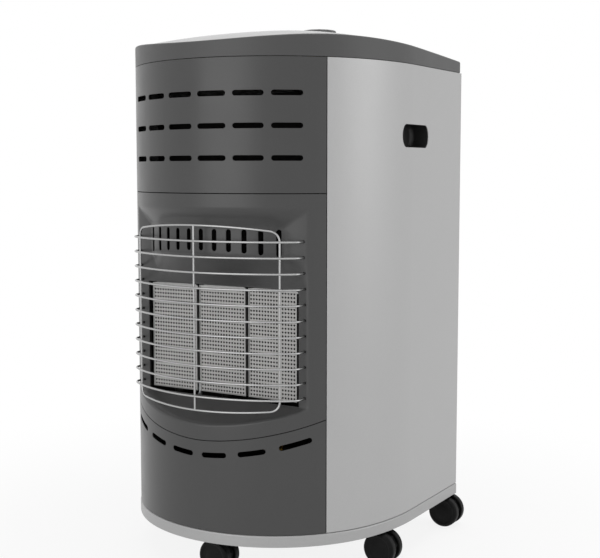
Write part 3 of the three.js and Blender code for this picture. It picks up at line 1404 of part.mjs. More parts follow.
// One castor wheel about its own centre, the axle along Y, `face` pointing away from the web.
function castorWheel(face) {
  const bore = AXLE_RADIUS + CASTOR_RUN_CLEARANCE;
  const depth = AXLE_STUB - CASTOR_RUN_CLEARANCE + FIT;
  const profile = [
    [0, depth],
    [bore, depth],
    [bore, 0],
    [WHEEL_RADIUS, 0],
    [WHEEL_RADIUS, WHEEL_WIDTH - WHEEL_EDGE],
    [WHEEL_RADIUS - WHEEL_EDGE, WHEEL_WIDTH],
    [0, WHEEL_WIDTH],
  ];
  const points = profile.map(([radius, y]) => new THREE.Vector2(radius, y));
  const flatDown = Math.PI / WHEEL_FACETS;
  const geometry = new THREE.LatheGeometry(points, WHEEL_FACETS, flatDown);
  return solid(solidOriented(face > 0 ? geometry : geometry.rotateX(Math.PI)));
}

// ---- assembly -----------------------------------------------------------------------------

// The part stands on its wheels at z = 0, with the middle of its width and depth at the origin.
const guardFrontY = guardCentreY - GUARD_RADIUS - WIRE_RADIUS;
const doorRearY = rearY + DOOR_BULGE;
const heater = new THREE.Group();
heater.position.set(0, -(guardFrontY + doorRearY) / 2, -wheelLowZ);

function place(parent, name, body, look, x = 0, y = 0, z = 0) {
  const mesh = new THREE.Mesh(geometryOf(body), look);
  mesh.name = name;
  mesh.position.set(x, y, z);
  parent.add(mesh);
}

function placeCastor({ name, x, y, trailSide }) {
  const castor = new THREE.Group();
  castor.position.set(x, y, 0);
  heater.add(castor);
  place(castor, `castor_${name}_stem`, castorStem(), FINISHES.zincSteel);
  place(castor, `castor_${name}_housing`, castorHousing(trailSide), FINISHES.blackPlastic);
  const axle = new THREE.Group();
  axle.position.set(trailSide * CASTOR_TRAIL, 0, wheelCentreZ);
  castor.add(axle);
  place(axle, `castor_${name}_wheel_front`, castorWheel(-1), FINISHES.blackRubber, 0, -wheelInnerY, 0);
  place(axle, `castor_${name}_wheel_rear`, castorWheel(1), FINISHES.blackRubber, 0, wheelInnerY, 0);
}

place(heater, 'base_tray', baseTray(), FINISHES.trayPaint);
place(heater, 'side_panel_left', sidePanel(-1), FINISHES.silverPaint);
place(heater, 'side_panel_right', sidePanel(1), FINISHES.silverPaint);
place(heater, 'upper_front_panel', upperFrontPanel(), FINISHES.graphitePaint);
place(heater, 'burner_surround', burnerSurround(), FINISHES.graphitePaint);
place(heater, 'lower_front_panel', lowerFrontPanel(), FINISHES.graphitePaint);
place(heater, 'wire_guard', wireGuard(), FINISHES.chrome);
for (let i = 0; i < HEAD_COUNT; i += 1) {
  place(heater, `burner_head_${i + 1}`, burnerHead(i), FINISHES.aluminisedSteel);
  place(heater, `ceramic_plaque_${i + 1}`, ceramicPlaque(i), FINISHES.ceramic);
}
place(heater, 'burner_carrier', burnerCarrier(), FINISHES.aluminisedSteel);
place(heater, 'gas_manifold', gasManifold(), FINISHES.brass);
place(heater, 'supply_pipe', supplyPipe(), FINISHES.aluminisedSteel);
place(heater, 'pilot_assembly', pilotAssembly(), FINISHES.zincSteel);
place(heater, 'heat_shield', heatShield(), FINISHES.aluminisedSteel);
place(heater, 'top_rail', topRail(), FINISHES.zincSteel);
place(heater, 'gas_valve', gasValve(), FINISHES.brass);
place(heater, 'valve_spindle', valveSpindle(), FINISHES.zincSteel);
place(heater, 'control_knob', controlKnob(), FINISHES.greyPlastic);
place(heater, 'lid_rim', lidRim(), FINISHES.rimPlastic);
place(heater, 'top_panel', topPanel(), FINISHES.lidPaint);
place(heater, 'grip_cup_left', gripCup(-1), FINISHES.blackPlastic);
place(heater, 'grip_cup_right', gripCup(1), FINISHES.blackPlastic);
place(heater, 'rear_door', rearDoor(), FINISHES.silverPaint);
hingeHeights.forEach((z, i) => {
  place(heater, `hinge_bracket_${['lower', 'upper'][i]}`, hingeBracket(z), FINISHES.zincSteel);
});
place(heater, 'door_magnet', doorMagnet(), FINISHES.blackPlastic);
CASTORS.forEach(placeCastor);

export default heater;
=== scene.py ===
"""Portable gas cabinet heater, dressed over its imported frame.

Sizes are in millimetres in the cabinet's own frame: x and y start at the centre of the front
arc and z starts under the base tray. `to_row` moves them to the row frame, in metres.
"""

import logging
import math
from dataclasses import dataclass, replace
from enum import Enum
from typing import Any, Callable, Sequence

import bmesh
import bpy
import numpy as np
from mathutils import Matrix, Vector
from mathutils.geometry import delaunay_2d_cdt


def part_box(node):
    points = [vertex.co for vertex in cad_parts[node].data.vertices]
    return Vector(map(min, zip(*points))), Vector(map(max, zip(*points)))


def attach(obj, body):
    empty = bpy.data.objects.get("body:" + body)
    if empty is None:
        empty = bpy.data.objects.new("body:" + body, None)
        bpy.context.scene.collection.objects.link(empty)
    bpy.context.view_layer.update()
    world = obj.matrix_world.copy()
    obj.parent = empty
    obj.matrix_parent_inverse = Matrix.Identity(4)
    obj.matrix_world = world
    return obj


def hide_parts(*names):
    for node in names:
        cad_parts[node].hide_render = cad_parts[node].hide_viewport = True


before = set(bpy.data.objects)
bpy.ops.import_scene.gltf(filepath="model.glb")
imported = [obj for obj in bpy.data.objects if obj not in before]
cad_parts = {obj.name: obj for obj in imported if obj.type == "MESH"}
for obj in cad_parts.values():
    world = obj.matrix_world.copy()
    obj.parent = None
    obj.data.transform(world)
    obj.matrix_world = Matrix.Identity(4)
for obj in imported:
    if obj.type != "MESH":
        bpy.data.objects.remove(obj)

LOG = logging.getLogger("heater")
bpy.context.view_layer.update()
MM = 0.001
Points = np.ndarray


# ---- the cabinet's plan and frame ----------------------------------------------------------


@dataclass(frozen=True)
class Plan:
    """The cabinet's plan: a wide front arc, flatter cheek arcs and straight parallel sides."""

    front_radius: float = 203.6
    front_sweep: float = math.radians(73.6)
    cheek_radius: float = 297.0
    side_length: float = 158.7

    @property
    def front_arc(self) -> float:
        """Arc length from the middle of the front to the cheek."""
        return self.front_radius * self.front_sweep

    @property
    def cheek_arc(self) -> float:
        """Arc length of one cheek."""
        return self.cheek_radius * (math.pi / 2 - self.front_sweep)

    @property
    def side_arc(self) -> float:
        """Arc length from the middle of the front to the rear corner."""
        return self.front_arc + self.cheek_arc + self.side_length

    @property
    def cheek_x(self) -> float:
        """Centre of the cheek arc, across."""
        return (self.front_radius - self.cheek_radius) * math.sin(self.front_sweep)

    @property
    def cheek_y(self) -> float:
        """Centre of the cheek arc, in depth."""
        return (self.cheek_radius - self.front_radius) * math.cos(self.front_sweep)

    @property
    def half_width(self) -> float:
        """Half of the cabinet's width."""
        return self.cheek_x + self.cheek_radius

    @property
    def rear_y(self) -> float:
        """Depth of the cabinet's rear face."""
        return self.cheek_y + self.side_length

    def at(self, arc: Points, inset: Points | float, z: Points | float) -> Points:
        """Points of the plan.

        Args:
            arc: Arc lengths from the middle of the front, positive to the right.
            inset: Distance inside the outer face.
            z: Heights.

        Returns:
            The points, one row each.
        """
        arc = np.asarray(arc, float)
        length = np.abs(arc)
        front = length / self.front_radius
        cheek = self.front_sweep + (length - self.front_arc) / self.cheek_radius
        turn = np.where(length <= self.front_arc, front, np.minimum(cheek, math.pi / 2))
        on_front = length <= self.front_arc
        reach = np.where(on_front, self.front_radius, self.cheek_radius) - inset
        x = np.where(on_front, 0.0, self.cheek_x) + reach * np.sin(turn)
        y = np.where(on_front, 0.0, self.cheek_y) - reach * np.cos(turn)
        y = y + np.maximum(length - self.front_arc - self.cheek_arc, 0.0)
        return np.stack([x * np.where(arc < 0, -1.0, 1.0), y, np.broadcast_to(z, x.shape)], axis=-1)

    def closed(self, corner: float, grow: float = 0.0, step: float = 6.0) -> tuple[Points, Points,
                                                                                   Points]:
        """Stations once round the plan with rounded rear corners.

        Args:
            corner: Radius of the rear corners.
            grow: Distance outside the cabinet's face.
            step: Spacing of the stations.

        Returns:
            Outer points, inward directions and arc lengths (signed, the rear beyond the side).
        """
        reach = self.side_arc + grow - corner
        count = int(2 * reach / step) + 1
        arcs = np.linspace(-reach, reach, count)
        outer = self.at(arcs, -grow, 0.0)[:, :2]
        inward = self.at(arcs, 1.0 - grow, 0.0)[:, :2] - outer
        turns = np.linspace(0.0, math.pi / 2, 7)
        centre = np.array([self.half_width + grow - corner, self.rear_y + grow - corner])
        arms = np.stack([np.cos(turns), np.sin(turns)], axis=-1)
        right = centre + corner * arms
        left = right[::-1] * [-1.0, 1.0]
        xs = np.linspace(centre[0], -centre[0], 24)[1:-1]
        rear = np.stack([xs, np.full(len(xs), self.rear_y + grow)], axis=-1)
        points = np.concatenate([outer, right[1:], rear, left[:-1]])
        inwards = np.concatenate([inward, -arms[1:], np.tile([0.0, -1.0], (len(xs), 1)),
                                  -arms[::-1][:-1] * [-1.0, 1.0]])
        beyond = np.full(len(points) - count, self.side_arc)
        return points, inwards, np.concatenate([arcs, beyond])


PLAN = Plan()
BODY_TOP = 640.0
TRAY_HEIGHT = 15.7
TRAY_PROUD = 0.8  # the tray stands out past the body
SHEET = 1.0
SEAM = 1.0
FIT = 0.3
SIDE_SEAM = 178.5  # arc length from the middle of the front to the side panels
UPPER_SEAM_Z = 465.6
REAR_RETURN = 12.4  # the side panels' fold across the back
PANEL_FOLD = 8.0
FOLD_START = 0.9  # a fold starts inside its panel's sheet
WIRE_HOLE_X = 133.6
WIRE_ROWS = 11
WIRE_TOP_Z = 403.7
WIRE_PITCH = 20.55
KNOB_X, KNOB_Y = 75.0, -11.0
CASTOR_PLACES: tuple[tuple[str, float, float, int], ...] = (  # name, x, y and trailing side
    ("front", 0.0, -172.0, 1), ("side_right", 177.8, -30.5, 1), ("side_left", -177.8, -30.5, -1),
    ("rear_right", 184.4, 172.07, 1), ("rear_left", -184.4, 172.07, -1))
TRAY_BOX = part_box("base_tray")
SHIFT = np.array([0.0, TRAY_BOX[1][1] / MM - PLAN.rear_y - TRAY_PROUD, TRAY_BOX[0][2] / MM])
QUARTER = np.radians([0, 22.5, 45, 67.5, 90])  # a soft edge's quarter turn
SOFTEN = [(i, j) for i in (-1, -0.5, 0, 0.5, 1) for j in (-1, -0.5, 0, 0.5, 1)]


def to_row(points: Points) -> Points:
    """Points of the cabinet's frame, in millimetres, moved to the row frame in metres."""
    return (np.asarray(points, float) + SHIFT) * MM


def smile_z(arc: Points | float) -> Points:
    """Height of the smiling seam between the lower panel and the burner surround."""
    return 138.2 + 30.9 * (np.abs(arc) / SIDE_SEAM) ** 1.75


# ---- finishes ------------------------------------------------------------------------------

# Softness of the edge where a finish's dark stain and painted shade begins.
STAIN_AND_SHADE_EDGE = 0.2 * MM
WHITE = (1.0, 1.0, 1.0, 1.0)


def linear(colour: str) -> tuple[float, float, float, float]:
    """The linear colour of an sRGB hex value."""
    parts = [int(colour[i:i + 2], 16) / 255 for i in (1, 3, 5)]
    rgb = [c / 12.92 if c <= 0.04045 else ((c + 0.055) / 1.055) ** 2.4 for c in parts]
    return (*rgb, 1.0)


def add(tree: bpy.types.NodeTree, kind: str, settings: dict[str, Any] | None = None,
        links: dict[Any, Any] | None = None) -> bpy.types.Node:
    """Adds one node with its settings and its inputs.

    Args:
        tree: The node tree.
        kind: The node's type.
        settings: Attributes of the node.
        links: Inputs by name or index: an output socket to link, or a plain value.

    Returns:
        The node.
    """
    node = tree.nodes.new(kind)
    for name, value in (settings or {}).items():
        setattr(node, name, value)
    for key, value in (links or {}).items():
        if isinstance(value, bpy.types.NodeSocket):
            tree.links.new(value, node.inputs[key])
        else:
            node.inputs[key].default_value = value
    return node


class Slot(Enum):
    """Material slots of the record."""

    GRAPHITE = "graphite_paint"
    SILVER = "silver_paint"
    TRAY = "tray_paint"
    RIM = "rim_plastic"
    LID = "lid_paint"
    CHROME = "chrome"
    CERAMIC = "ceramic"
    ALUMINISED = "aluminised_steel"
    ZINC = "zinc_steel"
    BRASS = "brass"
    BLACK = "black_plastic"
    TREAD = "black_tread"
    GREY = "grey_plastic"


@dataclass(frozen=True)
class Finish:
    """One finish: its shader values and the scales of its patterns.

    Each finish mixes two close colours over a cloud pattern, adds a fine grain in bump and
    roughness, and may have broad soft waves of the sheet or skin below it.
    """

    title: str
    slot: Slot
    colour: str
    second: str
    roughness: float
    metallic: float = 0.0
    ior: float = 1.5
    cloud_mm: float = 60.0
    grain_mm: float = 1.0
    grain_depth_mm: float = 0.01
    speckle: float = 0.0
    speckle_mm: float = 0.5
    rough_swing: float = 0.04
    wave_mm: float = 0.0
    wave_depth_mm: float = 0.0
    stretch: tuple[float, float, float] = (1.0, 1.0, 1.0)
    # A dark colour below a level on one axis: heat stain and soot together with painted shade.
    stain_and_shade: str = ""
    stain_and_shade_axis: str = "Y"
    stain_and_shade_below: float = 0.0

    def build(self) -> bpy.types.Material:
        """The procedural material of the finish."""
        known = bpy.data.materials.get(self.title)
        if known:
            return known
        material = bpy.data.materials.new(self.title)
        material.use_nodes = True
        tree = material.node_tree
        shader = tree.nodes["Principled BSDF"]
        place = add(tree, "ShaderNodeTexCoord").outputs["Object"]
        spread = add(tree, "ShaderNodeMapping", {},
                     {"Vector": place, "Scale": self.stretch}).outputs["Vector"]
        cloud = add(tree, "ShaderNodeTexNoise", {}, {
            "Vector": spread, "Scale": 1 / (self.cloud_mm * MM), "Detail": 4.0, "Roughness": 0.55})
        colour = add(tree, "ShaderNodeMix", {"data_type": "RGBA"}, {
            0: cloud.outputs["Fac"], 6: linear(self.colour), 7: linear(self.second)}).outputs[2]
        grain = add(tree, "ShaderNodeTexNoise", {}, {
            "Vector": spread, "Scale": 1 / (self.grain_mm * MM), "Detail": 2.0, "Roughness": 0.5})
        if self.speckle:
            flakes = add(tree, "ShaderNodeTexVoronoi", {}, {
                "Vector": place, "Scale": 1 / (self.speckle_mm * MM)})
            level = add(tree, "ShaderNodeMapRange", {}, {
                "Value": flakes.outputs["Color"], "To Min": 1 - self.speckle,
                "To Max": 1 + self.speckle})
            colour = add(tree, "ShaderNodeVectorMath", {"operation": "SCALE"}, {
                0: colour, "Scale": level.outputs[0]}).outputs[0]
        # Below the level the colour turns to the dark stain and painted shade.
        if self.stain_and_shade:
            level = add(tree, "ShaderNodeSeparateXYZ", {}, {0: place}).outputs[self.stain_and_shade_axis]
            stained_and_shaded = add(tree, "ShaderNodeMapRange", {}, {
                "Value": level, "From Min": self.stain_and_shade_below - STAIN_AND_SHADE_EDGE,
                "From Max": self.stain_and_shade_below + STAIN_AND_SHADE_EDGE,
                "To Min": 1.0, "To Max": 0.0})
            colour = add(tree, "ShaderNodeMix", {"data_type": "RGBA"}, {
                0: stained_and_shaded.outputs[0], 6: colour, 7: linear(self.stain_and_shade)}).outputs[2]
        rough = add(tree, "ShaderNodeMapRange", {}, {
            "Value": cloud.outputs["Fac"], "From Min": 0.3, "From Max": 0.7,
            "To Min": self.roughness - self.rough_swing,
            "To Max": self.roughness + self.rough_swing})
        bump = add(tree, "ShaderNodeBump", {}, {
            "Height": grain.outputs["Fac"], "Distance": self.grain_depth_mm * MM, "Strength": 1.0})
        if self.wave_mm:
            wave = add(tree, "ShaderNodeTexNoise", {}, {
                "Vector": place, "Scale": 1 / (self.wave_mm * MM), "Detail": 1.0})
            bump = add(tree, "ShaderNodeBump", {}, {
                "Height": wave.outputs["Fac"], "Distance": self.wave_depth_mm * MM,
                "Strength": 1.0, "Normal": bump.outputs["Normal"]})
        tree.links.new(colour, shader.inputs["Base Color"])
        tree.links.new(rough.outputs[0], shader.inputs["Roughness"])
        tree.links.new(bump.outputs["Normal"], shader.inputs["Normal"])
        shader.inputs["Metallic"].default_value = self.metallic
        shader.inputs["IOR"].default_value = self.ior
        return material


# Polyester powder coat on the front panels: a fine orange peel breaks up a soft wide sheen.
GRAPHITE_COAT = Finish("graphite_powder_coat", Slot.GRAPHITE, "#434343", "#474747", 0.32,
                       metallic=0.15,
                       grain_mm=1.1, grain_depth_mm=0.012, speckle=0.06, speckle_mm=0.6,
                       wave_mm=70, wave_depth_mm=0.04)
# Silver powder coat with fine metal flake: bright, satin, a little livelier than flat grey.
SILVER_COAT = Finish("silver_powder_coat", Slot.SILVER, "#b5b5b5", "#b9b9b9", 0.40, metallic=0.35,
                     grain_mm=1.0, grain_depth_mm=0.01, speckle=0.04, speckle_mm=0.5,
                     wave_mm=90, wave_depth_mm=0.05)
# Painted shade on the inner faces and folds of the panels: a flat, dull dark grey that keeps the
# cabinet's inside dark.
INTERIOR_SHADE = Finish("grey_primer", Slot.GRAPHITE, "#454545", "#4b4b4b", 0.7, cloud_mm=40, grain_mm=1.2,
                grain_depth_mm=0.02)
# The same silver, a shade darker, on the formed base tray.
TRAY_COAT = Finish("tray_powder_coat", Slot.TRAY, "#aeaeae", "#b2b2b2", 0.42, metallic=0.3,
                   grain_mm=1.0, grain_depth_mm=0.01, speckle=0.04, speckle_mm=0.5)
# Pale lacquered steel of the domed top.
LID_COAT = Finish("lid_lacquer", Slot.LID, "#b6b6b6", "#bababa", 0.34, metallic=0.1,
                  grain_mm=1.0, grain_depth_mm=0.008, speckle=0.03)
# Moulded grey rim: a fine spark-eroded grain keeps it duller than the paint.
RIM_PLASTIC = Finish("moulded_rim_plastic", Slot.RIM, "#474747", "#4b4b4b", 0.42, grain_mm=0.7,
                     grain_depth_mm=0.03)
# Mid-grey moulded knob.
KNOB_PLASTIC = Finish("moulded_knob_plastic", Slot.GREY, "#5e5e5e", "#626262", 0.42, grain_mm=0.6,
                      grain_depth_mm=0.02)
# Black nylon of the castor housings: its matt skin reflects little.
BLACK_PLASTIC = Finish("black_nylon", Slot.BLACK, "#0a0a0a", "#0e0e0e", 0.55, ior=1.2, grain_mm=0.8,
                       grain_depth_mm=0.03)
# The grip cups behind the hand holes: the same black, a little paler in cloudy patches.
CUP_PLASTIC = Finish("grip_cup_plastic", Slot.BLACK, "#1f1f1f", "#242424", 0.5, grain_mm=0.8,
                     grain_depth_mm=0.03)
# Hard black wheel plastic, dulled a little by the floor.
BLACK_TREAD = Finish("black_wheel_plastic", Slot.TREAD, "#0b0b0b", "#111111", 0.45, ior=1.22,
                     cloud_mm=12,
                     grain_mm=0.9, grain_depth_mm=0.04, rough_swing=0.1)
# Bright-plated wire: a tight mirror with a faint drawing ripple.
CHROME = Finish("chrome_plate", Slot.CHROME, "#aeaeae", "#a4a4a4", 0.2, metallic=1.0, cloud_mm=20,
                grain_mm=2.5, grain_depth_mm=0.01, rough_swing=0.05)
# Aluminised sheet: pale, satin, with faint mottling from the hot dip.
ALUMINISED = Finish("aluminised_sheet", Slot.ALUMINISED, "#a8a8a7", "#989897", 0.45, metallic=0.85,
                    cloud_mm=9, grain_mm=1.6, grain_depth_mm=0.02, rough_swing=0.1)
# The same sheet where it faces the fire: its front is painted near-black as heat blackening and
# painted shade of the dark interior; its back stays pale.
HEAT_AND_SHADE_DARKENED = replace(ALUMINISED, title="heat_stained_sheet", roughness=0.5, stain_and_shade="#161514",
                       stain_and_shade_below=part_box("heat_shield")[0][1] + 0.5 * MM)
# The burner heads: clean sheet round the plaques; below them the tubes are painted near-black, soot
# and painted shadow together.
HEAD_SHEET = replace(ALUMINISED, title="burner_head_sheet", stain_and_shade="#141312", stain_and_shade_axis="Z",
                     stain_and_shade_below=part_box("ceramic_plaque_1")[0][2] - MM)
# Cast and pressed parts behind the burner, painted near-black: soot and painted shade of the dark
# interior.
SOOT_AND_SHADE = Finish("sooted_steel", Slot.ALUMINISED, "#1d1c1b", "#171615", 0.6, metallic=0.8,
                cloud_mm=14,
                grain_mm=1.2, grain_depth_mm=0.03, rough_swing=0.08)
# Bright zinc plate on brackets and stems: slightly blotched, bluish.
ZINC = Finish("zinc_plate", Slot.ZINC, "#a4a6a7", "#939597", 0.36, metallic=0.95, cloud_mm=5,
              grain_mm=0.8, grain_depth_mm=0.01, rough_swing=0.1)
# Machined brass of the valve and manifold, with fine tool marks.
BRASS = Finish("machined_brass", Slot.BRASS, "#b8964f", "#a88643", 0.32, metallic=1.0, cloud_mm=6,
               grain_mm=0.5, grain_depth_mm=0.01, rough_swing=0.08, stretch=(1.0, 1.0, 6.0))
# Fired cordierite: chalky, pale grey, with a fine open grain and faint firing clouds.
CERAMIC = Finish("cordierite_ceramic", Slot.CERAMIC, "#c8c7c5", "#bcbbb9", 0.92, cloud_mm=22,
                 grain_mm=0.7, grain_depth_mm=0.05, rough_swing=0.03)
# The bores of the flame ports, painted dark as painted shade of the deep holes.
PORT_BORE = Finish("scorched_ceramic", Slot.CERAMIC, "#23211f", "#1b1918", 0.95, ior=1.2,
                   cloud_mm=10,
                   grain_mm=0.5, grain_depth_mm=0.03, rough_swing=0.02)


def seen_directly(tree: bpy.types.NodeTree) -> bpy.types.NodeSocket:
    """One for the camera's own rays, mirrors and glass, and nought for the light."""
    path = add(tree, "ShaderNodeLightPath").outputs
    mirror = add(tree, "ShaderNodeMath", {"operation": "MAXIMUM"}, {
        0: path["Is Glossy Ray"], 1: path["Is Transmission Ray"]})
    seen = add(tree, "ShaderNodeMath", {"operation": "MAXIMUM"}, {
        0: path["Is Camera Ray"], 1: mirror.outputs[0]})
    return seen.outputs[0]


@dataclass(frozen=True)
class StudioPaper:
    """The pale floor: plain white away from the object, with the object's shadow near it."""

    title: str = "studio_paper"
    colour: str = "#f4f4f4"
    near: float = 0.30
    far: float = 0.95
    near_white: float = 0.86

    def build(self) -> bpy.types.Material:
        """The floor's material."""
        material = bpy.data.materials.new(self.title)
        material.use_nodes = True
        tree = material.node_tree
        shader = tree.nodes["Principled BSDF"]
        place = add(tree, "ShaderNodeTexCoord").outputs["Object"]
        fibre = add(tree, "ShaderNodeTexNoise", {},
                    {"Vector": place, "Scale": 160.0, "Detail": 3.0})
        bump = add(tree, "ShaderNodeBump", {}, {"Height": fibre.outputs["Fac"], "Distance": 0.0001})
        tree.links.new(bump.outputs["Normal"], shader.inputs["Normal"])
        shader.inputs["Base Color"].default_value = linear(self.colour)
        shader.inputs["Roughness"].default_value = 0.9
        reach = add(tree, "ShaderNodeVectorMath", {"operation": "LENGTH"}, {0: place})
        fade = add(tree, "ShaderNodeMapRange", {"interpolation_type": "SMOOTHSTEP"}, {
            "Value": reach.outputs["Value"], "From Min": self.near, "From Max": self.far,
            "To Min": self.near_white, "To Max": 1.0})
        share = add(tree, "ShaderNodeMath", {"operation": "MULTIPLY"}, {
            0: fade.outputs[0], 1: seen_directly(tree)})
        white = add(tree, "ShaderNodeEmission", {}, {"Color": WHITE, "Strength": 1.0})
        mixed = add(tree, "ShaderNodeMixShader", {}, {
            0: share.outputs[0], 1: shader.outputs[0], 2: white.outputs[0]})
        tree.links.new(mixed.outputs[0], tree.nodes["Material Output"].inputs["Surface"])
        return material


# ---- meshes --------------------------------------------------------------------------------


SHARP_ANGLE = math.radians(40.0)
Body = tuple[Points, list[list[int]]]


def placed(name: str, data: bpy.types.ID) -> bpy.types.Object:
    """An object with its data, linked to the scene."""
    piece = bpy.data.objects.new(name, data)
    bpy.context.scene.collection.objects.link(piece)
    return piece


def finished(build: bmesh.types.BMesh, name: str) -> bpy.types.Mesh:
    """A named mesh of what has been built; the builder is freed."""
    mesh = bpy.data.meshes.new(name)
    build.to_mesh(mesh)
    build.free()
    return mesh


def shaded(mesh: bpy.types.Mesh, name: str) -> bpy.types.Object:
    """An object whose mesh is smooth, with normals that favour its large faces.

    Args:
        mesh: The mesh, already in the row frame.
        name: The object's name.

    Returns:
        The object, linked to the scene, without modifiers.
    """
    mesh.shade_smooth()
    mesh.set_sharp_from_angle(angle=SHARP_ANGLE)
    piece = placed(name, mesh)
    weigh = piece.modifiers.new("weigh", "WEIGHTED_NORMAL")
    weigh.keep_sharp = True
    weigh.weight = 50
    return settled(piece)


def settled(piece: bpy.types.Object) -> bpy.types.Object:
    """The same object with its modifiers turned into a plain mesh."""
    shape = piece.evaluated_get(bpy.context.evaluated_depsgraph_get())
    mesh = bpy.data.meshes.new_from_object(shape)
    mesh.name = piece.name
    old = piece.data
    piece.modifiers.clear()
    piece.data = mesh
    bpy.data.meshes.remove(old)
    return piece


def new_tree(name: str, inputs: dict[str, str]) -> bpy.types.NodeTree:
    """An empty geometry tree.

    Args:
        name: The tree's name.
        inputs: The kind of each input by its name.

    Returns:
        The tree, which gives one geometry.
    """
    tree = bpy.data.node_groups.new(name, "GeometryNodeTree")
    for title, kind in inputs.items():
        tree.interface.new_socket(title, in_out="INPUT", socket_type=f"NodeSocket{kind}")
    tree.interface.new_socket("Geometry", in_out="OUTPUT", socket_type="NodeSocketGeometry")
    return tree


def grown(piece: bpy.types.Object, tree: bpy.types.NodeTree,
          values: dict[str, Any]) -> bpy.types.Object:
    """Runs a geometry tree on an object and keeps the plain mesh.

    Args:
        piece: The object.
        tree: The node tree.
        values: The tree's inputs by name.

    Returns:
        The object with its new mesh.
    """
    modifier = piece.modifiers.new("grow", "NODES")
    modifier.node_group = tree
    names = {item.name: item.identifier for item in tree.interface.items_tree
             if item.in_out == "INPUT"}
    for name, value in values.items():
        modifier[names[name]] = value
    return settled(piece)


def dress(piece: bpy.types.Object, finish: Finish, body: str, *nodes: str) -> bpy.types.Object:
    """Gives a piece its finish and body, and hides the frame nodes that it stands for.

    Args:
        piece: The finished object.
        finish: Its finish.
        body: The body that it rides on.
        nodes: The nodes that it replaces.

    Returns:
        The object.
    """
    if not piece.data.materials:
        piece.data.materials.append(finish.build())
    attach(piece, body)
    if nodes:
        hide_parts(*nodes)
    LOG.info("%s: %d faces on %s", piece.name, len(piece.data.polygons), body)
    return piece


def solid_mesh(name: str, points: Points, faces: Sequence[Sequence[int]]) -> bpy.types.Mesh:
    """A closed mesh from points in the cabinet's frame, its faces turned outwards.

    Args:
        name: The mesh's name.
        points: Points in millimetres.
        faces: Faces as lists of point numbers.

    Returns:
        The mesh in the row frame.
    """
    mesh = bpy.data.meshes.new(name)
    mesh.from_pydata(to_row(points).tolist(), [], [list(face) for face in faces])
    build = bmesh.new()
    build.from_mesh(mesh)
    bmesh.ops.remove_doubles(build, verts=build.verts[:], dist=1e-7)
    bmesh.ops.dissolve_degenerate(build, edges=build.edges[:], dist=1e-8)
    bmesh.ops.recalc_face_normals(build, faces=build.faces[:])
    build.to_mesh(mesh)
    build.free()
    return mesh


def ring_faces(rings: int, count: int, looped: bool, capped: bool = True,
               first: int = 0) -> list[list[int]]:
    """Faces over rings of points.

    Args:
        rings: Number of rings.
        count: Points in each ring.
        looped: True where the last ring meets the first.
        capped: True where the open ends are closed.
        first: Number of the first point.

    Returns:
        The faces.
    """
    faces = []
    for i in range(rings if looped else rings - 1):
        near, far = first + i * count, first + ((i + 1) % rings) * count
        faces += [[near + j, near + (j + 1) % count, far + (j + 1) % count, far + j]
                  for j in range(count)]
    if not looped and capped:
        faces.append([first + j for j in range(count)][::-1])
        faces.append([first + (rings - 1) * count + j for j in range(count)])
    return faces


def turned(profile: Sequence[tuple[float, float]], centre: Sequence[float], count: int = 48,
           axis: str = "z", shape: Callable[[Points, float], Points] | None = None) -> Body:
    """A turned body.

    Args:
        profile: Radius and height pairs, closed on itself or meeting the axis at both ends.
        centre: The centre of its height zero.
        count: Facets round the axis.
        axis: "z" for upright, "y" for across the depth.
        shape: Optional change of the radius from the angles and the radius.

    Returns:
        Points and faces.
    """
    angles = np.linspace(0, 2 * math.pi, count, endpoint=False)
    rings = []
    for radius, height in profile:
        reach = shape(angles, radius) if shape else np.full(count, radius)
        level = np.full(count, height)
        if axis == "z":
            ring = np.stack([reach * np.cos(angles), reach * np.sin(angles), level], axis=-1)
        else:
            ring = np.stack([reach * np.cos(angles), level, reach * np.sin(angles)], axis=-1)
        rings.append(ring + np.asarray(centre))
    looped = profile[0][0] > 1e-6
    return np.concatenate(rings), ring_faces(len(rings), count, looped)


def joined(parts: Sequence[Body]) -> Body:
    """Several bodies' points and faces as one list of each."""
    points, faces, first = [], [], 0
    for part_points, part_faces in parts:
        points.append(part_points)
        faces += [[first + i for i in face] for face in part_faces]
        first += len(part_points)
    return np.concatenate(points), faces


def round_corner(centre: tuple[float, float], radius: float, start: float, end: float,
                 steps: int = 4) -> list[tuple[float, float]]:
    """Points of an arc between two angles in degrees."""
    return [(centre[0] + radius * math.cos(math.radians(a)),
             centre[1] + radius * math.sin(math.radians(a)))
            for a in np.linspace(start, end, steps + 1)]


def slot_loop(x: float, y: float, length: float, height: float, tilt: float = 0.0,
              steps: int = 8, bulge: float | None = None) -> Points:
    """A slot outline with round or bulged ends.

    Args:
        x: Centre across.
        y: Centre in height.
        length: Overall length.
        height: Overall height.
        tilt: Slope in radians.
        steps: Facets of each end.
        bulge: Reach of the ends; half the height where it is left out.

    Returns:
        The loop.
    """
    reach = height / 2 if bulge is None else bulge
    half = length / 2 - reach
    turns = np.linspace(-math.pi / 2, math.pi / 2, steps + 1)
    right = np.stack([half + reach * np.cos(turns), height / 2 * np.sin(turns)], axis=-1)
    loop = np.concatenate([right, -right])
    turn = np.array([[math.cos(tilt), math.sin(tilt)], [-math.sin(tilt), math.cos(tilt)]])
    return loop @ turn + [x, y]


def box_loop(x0: float, x1: float, y0: float, y1: float) -> Points:
    """A rectangular outline."""
    return np.array([[x0, y0], [x1, y0], [x1, y1], [x0, y1]], float)


def inside(point: Points, loop: Points) -> bool:
    """True where a flat point lies inside a loop."""
    (x, y), after = point, np.roll(loop, -1, axis=0)
    crossing = (loop[:, 1] > y) != (after[:, 1] > y)
    rise = np.where(crossing, after[:, 1] - loop[:, 1], 1.0)
    at = loop[:, 0] + (y - loop[:, 1]) * (after[:, 0] - loop[:, 0]) / rise
    return bool(np.count_nonzero(crossing & (x < at)) % 2)


